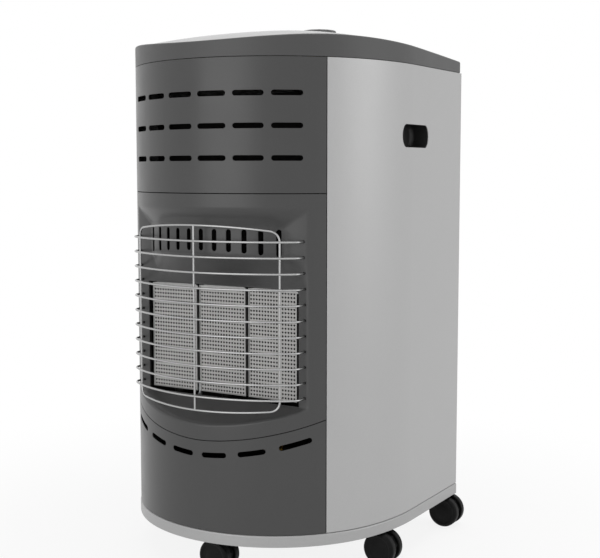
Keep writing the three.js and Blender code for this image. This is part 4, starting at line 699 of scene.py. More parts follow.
@dataclass
class Sheet:
    """A sheet cut flat with its holes, given a thickness and soft edges, then bent to its place."""

    outline: Points
    holes: list[Points]
    across: Sequence[float]
    upward: Sequence[float]
    bend: Callable[[Points, Points, Points], Points]
    thickness: float = SHEET
    start: float = 0.0
    edge: float = 0.35

    def build(self, target: bmesh.types.BMesh) -> None:
        """Adds the bent sheet to a mesh under construction.

        Args:
            target: The mesh that takes it, in the row frame.
        """
        loops = [self.outline, *self.holes]
        points, edges = [], []
        for loop in loops:
            first = len(points)
            points += [Vector(point) for point in loop]
            edges += [(first + i, first + (i + 1) % len(loop)) for i in range(len(loop))]
        flat_points, _, faces, *_ = delaunay_2d_cdt(points, edges, [], 1, 1e-6)
        flat = bmesh.new()
        verts = [flat.verts.new((point.x, point.y, self.start)) for point in flat_points]
        for face in faces:
            middle = np.mean([flat_points[i][:] for i in face], axis=0)
            if inside(middle, self.outline) and not any(inside(middle, hole)
                                                        for hole in self.holes):
                flat.faces.new([verts[i] for i in face])
        raised = bmesh.ops.extrude_face_region(flat, geom=flat.faces[:])["geom"]
        bmesh.ops.translate(flat, verts=[item for item in raised
                                         if isinstance(item, bmesh.types.BMVert)],
                            vec=(0, 0, self.thickness))
        for face in flat.faces:
            # Inner faces and folds take the second material, which on the panels is painted shade.
            face.material_index = int(self.start > 0
                                      or min(vert.co.z for vert in face.verts) > 1e-6)
        flat.normal_update()
        if self.edge:
            rims = [edge for edge in flat.edges if len(edge.link_faces) == 2
                    and edge.link_faces[0].normal.dot(edge.link_faces[1].normal) < 0.1
                    and all(abs(vert.co.z - self.start) < 1e-6 for vert in edge.verts)]
            bmesh.ops.bevel(flat, geom=rims, offset=self.edge, offset_type="OFFSET", segments=2,
                            profile=0.5, affect="EDGES", clamp_overlap=True)
        for axis, values in ((0, self.across), (1, self.upward)):
            for value in values:
                centre, normal = [0.0, 0.0, 0.0], [0.0, 0.0, 0.0]
                centre[axis], normal[axis] = value, 1.0
                bmesh.ops.bisect_plane(flat, geom=flat.verts[:] + flat.edges[:] + flat.faces[:],
                                       dist=1e-4, plane_co=centre, plane_no=normal)
        coords = np.array([vert.co[:] for vert in flat.verts])
        bent = to_row(self.bend(coords[:, 0], coords[:, 1], coords[:, 2]))
        for vert, place in zip(flat.verts, bent):
            vert.co = place
        bmesh.ops.recalc_face_normals(flat, faces=flat.faces[:])
        shell = finished(flat, "sheet")
        target.from_mesh(shell)
        bpy.data.meshes.remove(shell)


def sheets_object(name: str, sheets: Sequence[Sheet], finish: Finish,
                  lining: Finish) -> bpy.types.Object:
    """One object from several sheets.

    Args:
        name: The object's name.
        sheets: The sheets, each with its first face outwards.
        finish: The finish of the outer faces.
        lining: The finish of the inner faces and of the folds.

    Returns:
        The object.
    """
    build = bmesh.new()
    for sheet in sheets:
        sheet.build(build)
    mesh = finished(build, name)
    mesh.materials.append(finish.build())
    mesh.materials.append(lining.build())
    return shaded(mesh, name)


def flange(loop: Points) -> list[Points]:
    """A rectangle's own outline and the one a sheet's thickness inside it."""
    (x0, y0), (x1, y1) = loop.min(axis=0) + 0.05, loop.max(axis=0) - 0.05
    return [box_loop(x0, x1, y0, y1), box_loop(x0 + SHEET, x1 - SHEET, y0 + SHEET, y1 - SHEET)]


def dress_front_panel(name: str, node: str, skin: Sheet) -> None:
    """Gives a front panel its folded edges, its finish and its body.

    Args:
        name: The piece's name.
        node: The node that it replaces.
        skin: The panel's face, a rectangle when flat.
    """
    outer, inner = flange(skin.outline)
    folds = Sheet(outer, [inner], skin.across, [], skin.bend, PANEL_FOLD - FOLD_START, FOLD_START,
                  0.0)
    piece = sheets_object(name, [skin, folds], GRAPHITE_COAT, INTERIOR_SHADE)
    dress(piece, GRAPHITE_COAT, "cabinet", node)


def steps(low: float, high: float, pitch: float) -> list[float]:
    """Even division lines between two ends, without the ends."""
    count = max(int(round((high - low) / pitch)), 1)
    return list(np.linspace(low, high, count + 1)[1:-1])


# ---- front panels --------------------------------------------------------------------------


@dataclass
class UpperPanel:
    """The upper front panel with three rows of warm-air slots."""

    low: float = UPPER_SEAM_Z + SEAM / 2
    high: float = BODY_TOP - SEAM * 0.7
    reach: float = SIDE_SEAM - SEAM / 2
    rows: tuple[float, ...] = (593.8, 552.4, 511.15)
    columns: int = 6
    pitch: float = 50.55
    slot_length: float = 41.1
    slot_height: float = 7.0

    def build(self) -> None:
        """Makes and dresses the panel."""
        outline = box_loop(-self.reach, self.reach, self.low, self.high)
        holes = [slot_loop((i - (self.columns - 1) / 2) * self.pitch, z, self.slot_length,
                           self.slot_height)
                 for z in self.rows for i in range(self.columns)]
        bend = lambda s, v, w: PLAN.at(s, w, v)
        lines = steps(-self.reach, self.reach, 5.0)
        dress_front_panel("upper_panel", "upper_front_panel",
                          Sheet(outline, holes, lines, [], bend))


@dataclass
class LowerPanel:
    """The lower front panel under the smiling seam, with its six tilted slots."""

    low: float = TRAY_HEIGHT + SEAM * 0.7
    reach: float = SIDE_SEAM - SEAM / 2
    drop: float = 19.3
    slots: tuple[tuple[float, float], ...] = ((25.6, 36.6), (78.8, 38.2), (137.0, 45.2))
    slot_height: float = 7.0

    def stretch(self, arc: Points) -> Points:
        """Height of the panel over its height at the middle."""
        return (smile_z(arc) - SEAM / 2 - self.low) / (smile_z(0.0) - SEAM / 2 - self.low)

    def build(self) -> None:
        """Makes and dresses the panel."""
        outline = box_loop(-self.reach, self.reach, self.low, smile_z(0.0) - SEAM / 2)
        holes = []
        for arc, length in self.slots:
            for side in (-1, 1):
                at = side * arc
                slope = (smile_z(at + 1) - smile_z(at - 1)) / 2
                loop = slot_loop(at, smile_z(at) - self.drop, length, self.slot_height,
                                 math.atan(slope))
                loop[:, 1] = self.low + (loop[:, 1] - self.low) / self.stretch(loop[:, 0])
                holes.append(loop)
        bend = lambda s, v, w: PLAN.at(s, w, self.low + (v - self.low) * self.stretch(s))
        lines = steps(-self.reach, self.reach, 5.0)
        dress_front_panel("lower_panel", "lower_front_panel",
                          Sheet(outline, holes, lines, [], bend))


@dataclass
class BurnerSurround:
    """The middle front panel: a pressed recess with a slotted band over the burner window."""

    reach: float = SIDE_SEAM - SEAM / 2
    outer_angle: float = 43.2
    band_angle: float = 34.5
    top_z: float = 445.7
    band_radius: float = 191.5
    band_top: float = 422.0
    band_low: float = 383.5
    band_drop: float = 3.5
    window_depth: float = 147.0
    window_half: float = 124.3
    window_low: float = 186.0
    window_top: float = 340.0
    lip_rise: float = 21.8
    slot_count: int = 11
    slot_pitch: float = 20.6
    slot_width: float = 6.8
    slot_top: float = 419.0
    slot_low: float = 390.2
    slot_end_drop: float = 7.0
    round_mm: float = 2.4
    hole_radius: float = 1.7

    @property
    def window_angle(self) -> float:
        """Angle of the window's upright edges, in degrees."""
        return math.degrees(math.atan(self.window_half / self.window_depth))

    def radii(self, angle: Points) -> tuple[Points, Points]:
        """Radii of the window plane and of the slotted band at an angle in degrees."""
        full = PLAN.front_radius
        size = np.abs(angle)
        jamb = lambda radius, inner: radius + (full - radius) * np.clip(
            (size - inner) / (self.outer_angle - inner), 0.0, 1.0)
        edge = self.window_depth / math.cos(math.radians(self.window_angle))
        flat = self.window_depth / np.cos(np.radians(np.minimum(size, self.window_angle)))
        back = np.where(size <= self.window_angle, flat, jamb(edge, self.window_angle))
        return back, np.maximum(jamb(self.band_radius, self.band_angle), back)

    def knots(self, arc: Points) -> list[Points]:
        """Heights of the panel's level lines at an arc length, from its low edge to its high edge."""
        angle = np.degrees(np.abs(arc) / PLAN.front_radius)
        _, band = self.radii(angle)
        lip = smile_z(arc) + self.lip_rise
        brow = (self.top_z - self.band_top) / (PLAN.front_radius - self.band_radius)
        band_top = np.minimum(self.band_top + brow * (band - self.band_radius), self.top_z - 2.0)
        low = self.band_low - self.band_drop * np.minimum(angle / self.band_angle, 1.3) ** 2
        flat = np.ones_like(angle)
        return [smile_z(arc) + SEAM / 2, lip, np.maximum(self.window_low * flat, lip + 2.0),
                self.window_top * flat, low, band_top, self.top_z * flat,
                (UPPER_SEAM_Z - SEAM / 2) * flat]

    @staticmethod
    def ramp(value: Points, knots: Sequence[Points], levels: Sequence[Points]) -> Points:
        """Levels joined by straight ramps between knots that may differ from point to point."""
        result = levels[0] * np.ones_like(value)
        for k0, k1, l0, l1 in zip(knots, knots[1:], levels, levels[1:]):
            result = result + (l1 - l0) * np.clip((value - k0) / (k1 - k0), 0.0, 1.0)
        return result

    def depth(self, arc: Points, z: Points) -> Points:
        """Depth of the recess behind the cabinet's face, its corners softened."""
        total = np.zeros_like(arc)
        for i, j in SOFTEN:
            at = arc + i * self.round_mm
            back, band = self.radii(np.degrees(at / PLAN.front_radius))
            full = np.full_like(at, PLAN.front_radius)
            knots = self.knots(at)
            radius = self.ramp(z + j * self.round_mm, knots[1:7],
                               [full, back, back, band, band, full])
            total += PLAN.front_radius - radius
        return total / len(SOFTEN)

    def build(self) -> None:
        """Makes and dresses the surround."""
        centre = np.zeros(1)
        levels = [float(k[0]) for k in self.knots(centre)]
        outline = box_loop(-self.reach, self.reach, levels[0], levels[-1])
        flat = lambda s, z: self.ramp(z, self.knots(s),
                                      [np.full_like(s, level) for level in levels])
        holes = [self.window_loop(), *(self.band_slot(i) for i in range(self.slot_count))]
        turns = np.linspace(0, 2 * math.pi, 12, endpoint=False)
        for z in (WIRE_TOP_Z - WIRE_PITCH * i for i in range(WIRE_ROWS)):
            for side in (-1, 1):
                holes.append(np.stack([side * self.wire_arc(z) + self.hole_radius * np.cos(turns),
                                       z + self.hole_radius * np.sin(turns)], axis=-1))
        flattened = [np.stack([loop[:, 0], flat(loop[:, 0], loop[:, 1])], axis=-1)
                     for loop in holes]
        bend = self.bent(levels)
        soft = lambda at: [at - 3.2, at - 1.6, at, at + 1.6, at + 3.2]
        across = steps(-self.reach, self.reach, 5.2)
        for angle in (self.band_angle, self.window_angle, self.outer_angle):
            arc = math.radians(angle) * PLAN.front_radius
            across += [side * line for line in soft(arc) for side in (-1, 1)
                       if line < self.reach - 1]
        upward = [line for level in levels[1:-1] for line in soft(level)]
        for low, high in zip(levels[1:], levels[2:-1]):
            upward += steps(low + 3.2, high - 3.2, 7.0)
        dress_front_panel("burner_recess_panel", "burner_surround",
                          Sheet(outline, flattened, across, upward, bend))

    def wire_arc(self, z: float) -> float:
        """Arc length at which a row wire of the guard, going straight back, meets the panel's face."""
        arc = PLAN.front_radius * math.asin(WIRE_HOLE_X / PLAN.front_radius)
        for _ in range(24):
            radius = PLAN.front_radius - float(self.depth(np.array([arc]), np.array([z]))[0])
            arc = (arc + PLAN.front_radius * math.asin(WIRE_HOLE_X / radius)) / 2
        return arc

    def bent(self, levels: Sequence[float]) -> Callable[[Points, Points, Points], Points]:
        """The bend from the flat blank to the pressed panel.

        Args:
            levels: Heights of the level lines at the middle.

        Returns:
            A function of arc length, flat height and depth in the sheet.
        """
        def bend(s: Points, v: Points, w: Points) -> Points:
            z = self.ramp(v, [np.full_like(s, level) for level in levels], self.knots(s))
            return PLAN.at(s, self.depth(s, z) + w, z)
        return bend

    def window_loop(self) -> Points:
        """The burner window's outline."""
        arc = math.radians(self.window_angle) * PLAN.front_radius
        xs = np.linspace(-arc, arc, 41)
        low = np.stack([xs, np.full(41, self.window_low)], axis=-1)
        high = np.stack([xs[::-1], np.full(41, self.window_top)], axis=-1)
        return np.concatenate([low, high])

    def band_slot(self, i: int) -> Points:
        """One upright slot of the band; the outer slots reach lower."""
        x = (i - (self.slot_count - 1) / 2) * self.slot_pitch
        arc = math.asin(x / self.band_radius) * PLAN.front_radius
        reach = (self.slot_count - 1) / 2 * self.slot_pitch
        low = self.slot_low - self.slot_end_drop * (x / reach) ** 2
        loop = slot_loop(0, 0, self.slot_top - low, self.slot_width)
        widen = PLAN.front_radius / self.band_radius
        return np.stack([arc - loop[:, 1] * widen, (self.slot_top + low) / 2 + loop[:, 0]], axis=-1)


# ---- side panels and hand grips ------------------------------------------------------------


@dataclass
class SidePanels:
    """The two silver side panels with rolled rear corners, and the cups behind their hand holes."""

    low: float = TRAY_HEIGHT + SEAM * 0.7
    high: float = BODY_TOP - SEAM * 0.7
    start: float = SIDE_SEAM + SEAM / 2
    corner: float = 1.5
    front_fold: float = 30.0
    grip_y: float = 29.7
    grip_z: float = 542.5
    grip_length: float = 77.9
    grip_height: float = 31.3
    grip_bulge: float = 10.0
    cup_depth: float = 28.0
    cup_wall: float = 2.0
    cup_flange: float = 6.0
    cup_soft: float = 7.0

    def bend(self, side: int) -> Callable[[Points, Points, Points], Points]:
        """The bend of one side panel round the plan and its rear corner."""
        def bent(s: Points, v: Points, w: Points) -> Points:
            roll = PLAN.side_arc - self.corner
            turn = np.clip((s - roll) / self.corner, 0.0, math.pi / 2)
            beyond = np.maximum(s - roll - self.corner * math.pi / 2, 0.0)
            straight = PLAN.at(np.minimum(s, roll), w, v)
            reach = self.corner - w
            rolled = np.stack([PLAN.half_width - self.corner + reach * np.cos(turn) - beyond,
                               PLAN.rear_y - self.corner + reach * np.sin(turn), v], axis=-1)
            return np.where((s > roll)[:, None], rolled, straight) * [side, 1.0, 1.0]
        return bent

    def build(self) -> None:
        """Makes and dresses both sides."""
        end = PLAN.side_arc - self.corner + self.corner * math.pi / 2 + REAR_RETURN - self.corner
        grip_arc = PLAN.front_arc + PLAN.cheek_arc + self.grip_y - PLAN.cheek_y
        roll = PLAN.side_arc - self.corner
        lines = steps(self.start, PLAN.front_arc + PLAN.cheek_arc, 6.0)
        lines += [roll + self.corner * a for a in QUARTER]
        for side, label in ((1, "right"), (-1, "left")):
            hole = slot_loop(grip_arc, self.grip_z, self.grip_length, self.grip_height, 0.0, 20,
                             self.grip_bulge)
            skin = Sheet(box_loop(self.start, end, self.low, self.high), [hole], lines, [],
                         self.bend(side))
            fold = Sheet(box_loop(self.start + 0.05, self.start + SHEET, self.low + 0.05,
                                  self.high - 0.05),
                         [], [], [], self.bend(side), self.front_fold, 0.9, 0.0)
            top = [Sheet(box_loop(self.start + 3, roll - 4, z0, z1), [], lines, [], self.bend(side),
                         7.0, 0.9, 0.0)
                   for z0, z1 in ((self.low + 0.05, self.low + SHEET),
                                  (self.high - SHEET, self.high - 0.05))]
            dress(sheets_object(f"side_{label}", [skin, fold, *top], SILVER_COAT, INTERIOR_SHADE),
                  SILVER_COAT,
                  "cabinet", f"side_panel_{label}")
            self.cup(side, label)

    def cup(self, side: int, label: str) -> None:
        """Makes one grip cup: a flange behind the panel, soft walls and a floor.

        Args:
            side: 1 for the right, -1 for the left.
            label: The side's word in the piece's name.
        """
        face, soft = SHEET + FIT, self.cup_soft
        levels = [(self.cup_flange, face), (0.0, face), (0.0, face + 1.5),
                  (0.0, self.cup_depth - soft)]
        levels += [(soft * math.cos(a) - soft, self.cup_depth - soft + soft * math.sin(a))
                   for a in QUARTER[1:]]
        back = [(self.cup_wall - soft + soft * math.cos(a),
                 self.cup_depth + self.cup_wall - soft + soft * math.sin(a)) for a in QUARTER[::-1]]
        levels += back + [(self.cup_wall, face + self.cup_wall),
                          (self.cup_flange, face + self.cup_wall)]
        rings = []
        for grow, depth in levels:
            loop = slot_loop(self.grip_y, self.grip_z, self.grip_length + 2 * grow,
                             self.grip_height + 2 * grow, 0.0, 16, self.grip_bulge + grow)
            behind = np.minimum(loop[:, 0] - PLAN.cheek_y, 0.0)
            bow = PLAN.cheek_radius - np.sqrt(PLAN.cheek_radius ** 2 - behind ** 2)
            straight = self.cup_depth - soft
            bow *= np.clip((straight - depth) / (straight - face - self.cup_wall), 0.0, 1.0)
            rings.append(np.stack([side * (PLAN.half_width - depth - bow), loop[:, 0], loop[:, 1]],
                                  axis=-1))
        count = len(rings[0])
        inner = len(levels) - len(back) - 2
        faces = ring_faces(inner, count, False, False)
        faces += ring_faces(len(rings) - inner, count, False, False, inner * count)
        faces.append([(inner - 1) * count + j for j in range(count)])
        faces.append([inner * count + j for j in range(count)])
        last = (len(rings) - 1) * count
        faces += [[j, (j + 1) % count, last + (j + 1) % count, last + j] for j in range(count)]
        mesh = solid_mesh(f"cup_{label}", np.concatenate(rings), faces)
        dress(shaded(mesh, f"cup_{label}"), CUP_PLASTIC, "cabinet", f"grip_cup_{label}")


# ---- base tray -----------------------------------------------------------------------------


@dataclass
class BaseTray:
    """The formed tray: soft upper edge, hemmed skirt, air slots and the bottle's ridge."""

    wall: float = 1.5
    corner: float = 3.0
    soft: float = 2.2
    bottle_y: float = 51.2
    stop_inner: float = 155.5
    stop_wall: float = 3.0
    stop_height: float = 7.0
    stop_sweep: float = 58.0
    vents: int = 4
    vent_length: float = 90.0
    vent_width: float = 9.0
    vent_pitch: float = 60.0
    stem_radius: float = 3.3

    def build(self) -> None:
        """Makes and dresses the tray."""
        outer, inward, _ = PLAN.closed(self.corner, TRAY_PROUD)
        count = len(outer)
        profile = [(self.soft, TRAY_HEIGHT)]
        profile += [(self.soft - self.soft * math.sin(a),
                     TRAY_HEIGHT - self.soft + self.soft * math.cos(a))
                    for a in QUARTER[1:]]
        profile += [(0.0, 0.5), (0.15, 0.15), (0.5, 0.0), (self.wall - 0.2, 0.0), (self.wall, 0.3),
                    (self.wall, TRAY_HEIGHT - self.wall - 0.8),
                    (self.wall + 0.8, TRAY_HEIGHT - self.wall),
                    (self.soft, TRAY_HEIGHT - self.wall)]
        rings = [np.column_stack([outer + inward * inset, np.full(count, z)])
                 for inset, z in profile]
        skirt = (np.concatenate(rings), ring_faces(len(rings), count, True))
        build = bmesh.new()
        build.from_mesh(solid_mesh("skirt", *skirt))
        turns = np.linspace(0, 2 * math.pi, 16, endpoint=False)
        circle = self.stem_radius * np.stack([np.cos(turns), np.sin(turns)], axis=-1)
        holes = [circle + [x, y] for _, x, y, _ in CASTOR_PLACES]
        loop = slot_loop(0, 0, self.vent_length, self.vent_width)
        for i in range(self.vents):
            x = (i - (self.vents - 1) / 2) * self.vent_pitch
            holes.append(np.stack([x - loop[:, 1], self.bottle_y + loop[:, 0]], axis=-1))
        edge = outer + inward * (self.soft - 0.2)
        lay = lambda x, y, w: np.stack([x, y, TRAY_HEIGHT - w], axis=-1)
        Sheet(edge, holes, [], [], lay, self.wall, 0.0, 0.0).build(build)
        build.from_mesh(solid_mesh("stop", *self.stop()))
        dress(shaded(finished(build, "tray"), "tray"), TRAY_COAT, "cabinet", "base_tray")

    def stop(self) -> Body:
        """The curved ridge that keeps the bottle in place."""
        angles = np.radians(np.linspace(-self.stop_sweep, self.stop_sweep, 41))
        mid = self.stop_inner + self.stop_wall / 2
        half = self.stop_wall / 2
        top = TRAY_HEIGHT + self.stop_height
        section = [(mid - half, TRAY_HEIGHT - 0.5), (mid - half, top - 1.2),
                   (mid - half + 0.5, top - 0.3),
                   (mid, top), (mid + half - 0.5, top - 0.3), (mid + half, top - 1.2),
                   (mid + half, TRAY_HEIGHT - 0.5)]
        rings = [np.array([[radius * math.sin(a), self.bottle_y - radius * math.cos(a), z]
                           for radius, z in section]) for a in angles]
        return np.concatenate(rings), ring_faces(len(rings), len(section), False)


# ---- lid, dome and knob --------------------------------------------------------------------


@dataclass
class Lid:
    """The moulded rim with its wavy top edge, and the pale dome with the knob's dish."""

    wall: float = 3.6
    soft: float = 2.4
    front_height: float = 21.3
    shoulder_height: float = 29.0
    shoulder_arc: float = 196.0
    rear_height: float = 16.0
    fall_power: float = 1.4
    ledge: float = 4.0
    ledge_thickness: float = 2.0
    corner: float = 8.0
    sheet: float = 1.5
    sunk: float = 1.2
    peak: float = 50.0
    dish_radius: float = 33.5
    dish_floor: float = 670.6
    dish_soft: float = 3.0
    dish_lip: float = 2.6
    spindle_hole: float = 5.2

    def height(self, arc: Points) -> Points:
        """Height of the rim's top edge over the body."""
        length = np.abs(arc)
        rise = (1 - np.cos(np.pi * np.minimum(length / self.shoulder_arc, 1.0))) / 2
        span = PLAN.side_arc - self.shoulder_arc
        fall = np.clip((length - self.shoulder_arc) / span, 0.0, 1.0) ** self.fall_power
        front = self.front_height + (self.shoulder_height - self.front_height) * rise
        return front + (self.rear_height - self.shoulder_height) * fall

    def build(self) -> None:
        """Makes and dresses the rim and the dome."""
        outer, inward, arcs = PLAN.closed(self.corner)
        top = BODY_TOP + self.height(arcs)
        seat = top - self.sunk - self.sheet - FIT
        soft = self.soft
        turns = np.radians([0, 18, 36, 54, 72, 90])
        profile = [(0.4, np.full_like(top, BODY_TOP)), (0.0, np.full_like(top, BODY_TOP + 0.5))]
        profile += [(soft - soft * math.cos(a), top - soft + soft * math.sin(a)) for a in turns]
        profile += [(self.wall - 0.4, top), (self.wall, top - 0.4), (self.wall, seat),
                    (self.wall + self.ledge, seat),
                    (self.wall + self.ledge, seat - self.ledge_thickness),
                    (self.wall, seat - self.ledge_thickness),
                    (self.wall, np.full_like(top, BODY_TOP))]
        rings = [np.column_stack([outer + inward * inset, z]) for inset, z in profile]
        mesh = solid_mesh("rim", np.concatenate(rings), ring_faces(len(rings), len(outer), True))
        dress(shaded(mesh, "rim"), RIM_PLASTIC, "cabinet", "lid_rim")
        self.dome(outer + inward * (self.wall + FIT), top - self.sunk)

    def dome(self, edge: Points, edge_z: Points) -> None:
        """Makes the dome as rings round the knob's axis, out to its edge.

        Args:
            edge: The dome's outline.
            edge_z: Its heights.
        """
        bearing = np.arctan2(edge[:, 1], edge[:, 0])
        order = np.argsort(bearing)
        reach, height = np.hypot(*edge.T)[order], edge_z[order]
        bearing = bearing[order]
        peak = BODY_TOP + self.peak

        def surface(radius: Points) -> Points:
            """Heights of the dome's parabola on a ring round the knob's axis."""
            x, y = KNOB_X + radius * np.cos(angles), KNOB_Y + radius * np.sin(angles)
            edge_height = np.interp(np.arctan2(y, x), bearing, height, period=2 * math.pi)
            edge_reach = np.interp(np.arctan2(y, x), bearing, reach, period=2 * math.pi)
            return peak - (peak - edge_height) * (np.hypot(x, y) / edge_reach) ** 2

        local = edge - [KNOB_X, KNOB_Y]
        turn = np.arctan2(local[:, 1], local[:, 0])
        order = np.argsort(turn)
        angles = np.linspace(-math.pi, math.pi, 216, endpoint=False)
        far = np.interp(angles, turn[order], np.hypot(*local.T)[order], period=2 * math.pi)
        radius, lip, soft = self.dish_radius, self.dish_lip, self.dish_soft
        dish = [(r, self.dish_floor) for r in (self.spindle_hole, 14.0, radius - soft)]
        dish += [(radius - soft + soft * math.cos(a), self.dish_floor + soft - soft * math.sin(a))
                 for a in QUARTER[3::-1]]
        rings = [(np.full_like(far, r), np.full_like(far, z)) for r, z in dish]
        for a in QUARTER:
            r = np.full_like(far, radius + lip - lip * math.cos(a))
            rings.append((r, surface(r) - lip + lip * math.sin(a)))
        start = radius + lip
        for t in np.linspace(0, 1, 22)[1:]:
            r = start + (far - start) * t
            rings.append((r, surface(r)))
        upper = [np.column_stack([KNOB_X + r * np.cos(angles), KNOB_Y + r * np.sin(angles), z])
                 for r, z in rings]
        lower = [ring - [0, 0, self.sheet] for ring in upper[::-1]]
        for (r, _), ring in zip(rings[::-1], lower):
            upright = (r > radius - soft - 0.2) & (r < radius + lip - 0.1)
            shift = np.where(upright, self.sheet, 0.0)
            ring[:, 0] += shift * np.cos(angles)
            ring[:, 1] += shift * np.sin(angles)
        rows = upper + lower
        mesh = solid_mesh("dome", np.concatenate(rows), ring_faces(len(rows), len(angles), True))
        dress(shaded(mesh, "dome"), LID_COAT, "cabinet", "top_panel")


@dataclass
class Knob:
    """The fluted control knob with its raised pointer bar."""

    radius: float = 25.0
    low: float = 675.6
    high: float = 689.1
    soft: float = 2.4
    flutes: int = 12
    flute_depth: float = 1.1
    bore: float = 4.3
    roof: float = 4.0
    bar_half: float = 1.3
    bar_ends: tuple[float, float] = (20.0, 4.0)

    def build(self) -> None:
        """Makes and dresses the knob."""
        low, high, soft = self.low, self.high, self.soft
        ripple = lambda angles, radius: np.where(
            radius > self.radius - 1.5,
            radius - self.flute_depth * (0.5 + 0.5 * np.cos(self.flutes * angles)) ** 3, radius)
        top = [(self.radius - 0.6 - soft + soft * math.cos(a), high - soft + soft * math.sin(a))
               for a in QUARTER]
        inner, boss, roof = self.radius - 4.0, self.bore + 2.7, high - self.roof
        profile = [(self.bore, low), (boss, low), (boss, roof), (inner - 1.0, roof), (inner, low),
                   (self.radius - 0.4, low), (self.radius, low + 0.5), *top, (14.0, high - 0.35),
                   (6.0, high - 0.4), (0.001, high - 0.4), (0.001, roof + 0.3),
                   (self.bore, roof + 0.3)]
        body = turned(profile, (KNOB_X, KNOB_Y, 0.0), 144, "z", ripple)
        mesh = solid_mesh("knob_body", *joined([body, self.pointer()]))
        dress(shaded(mesh, "knob_body"), KNOB_PLASTIC, "knob", "control_knob")

    def pointer(self) -> Body:
        """The raised bar on the knob's face that shows its setting."""
        half, base, top = self.bar_half, self.high - 0.8, self.high - 0.02
        (far, near), rings = self.bar_ends, []
        for inset, z in ((0.0, base), (0.0, top - 0.25), (0.3, top)):
            loop = box_loop(KNOB_X - half + inset, KNOB_X + half - inset,
                            KNOB_Y - far + inset, KNOB_Y - near - inset)
            rings.append(np.column_stack([loop, np.full(4, z)]))
        return np.concatenate(rings), ring_faces(3, 4, False)


# ---- wire guard ----------------------------------------------------------------------------


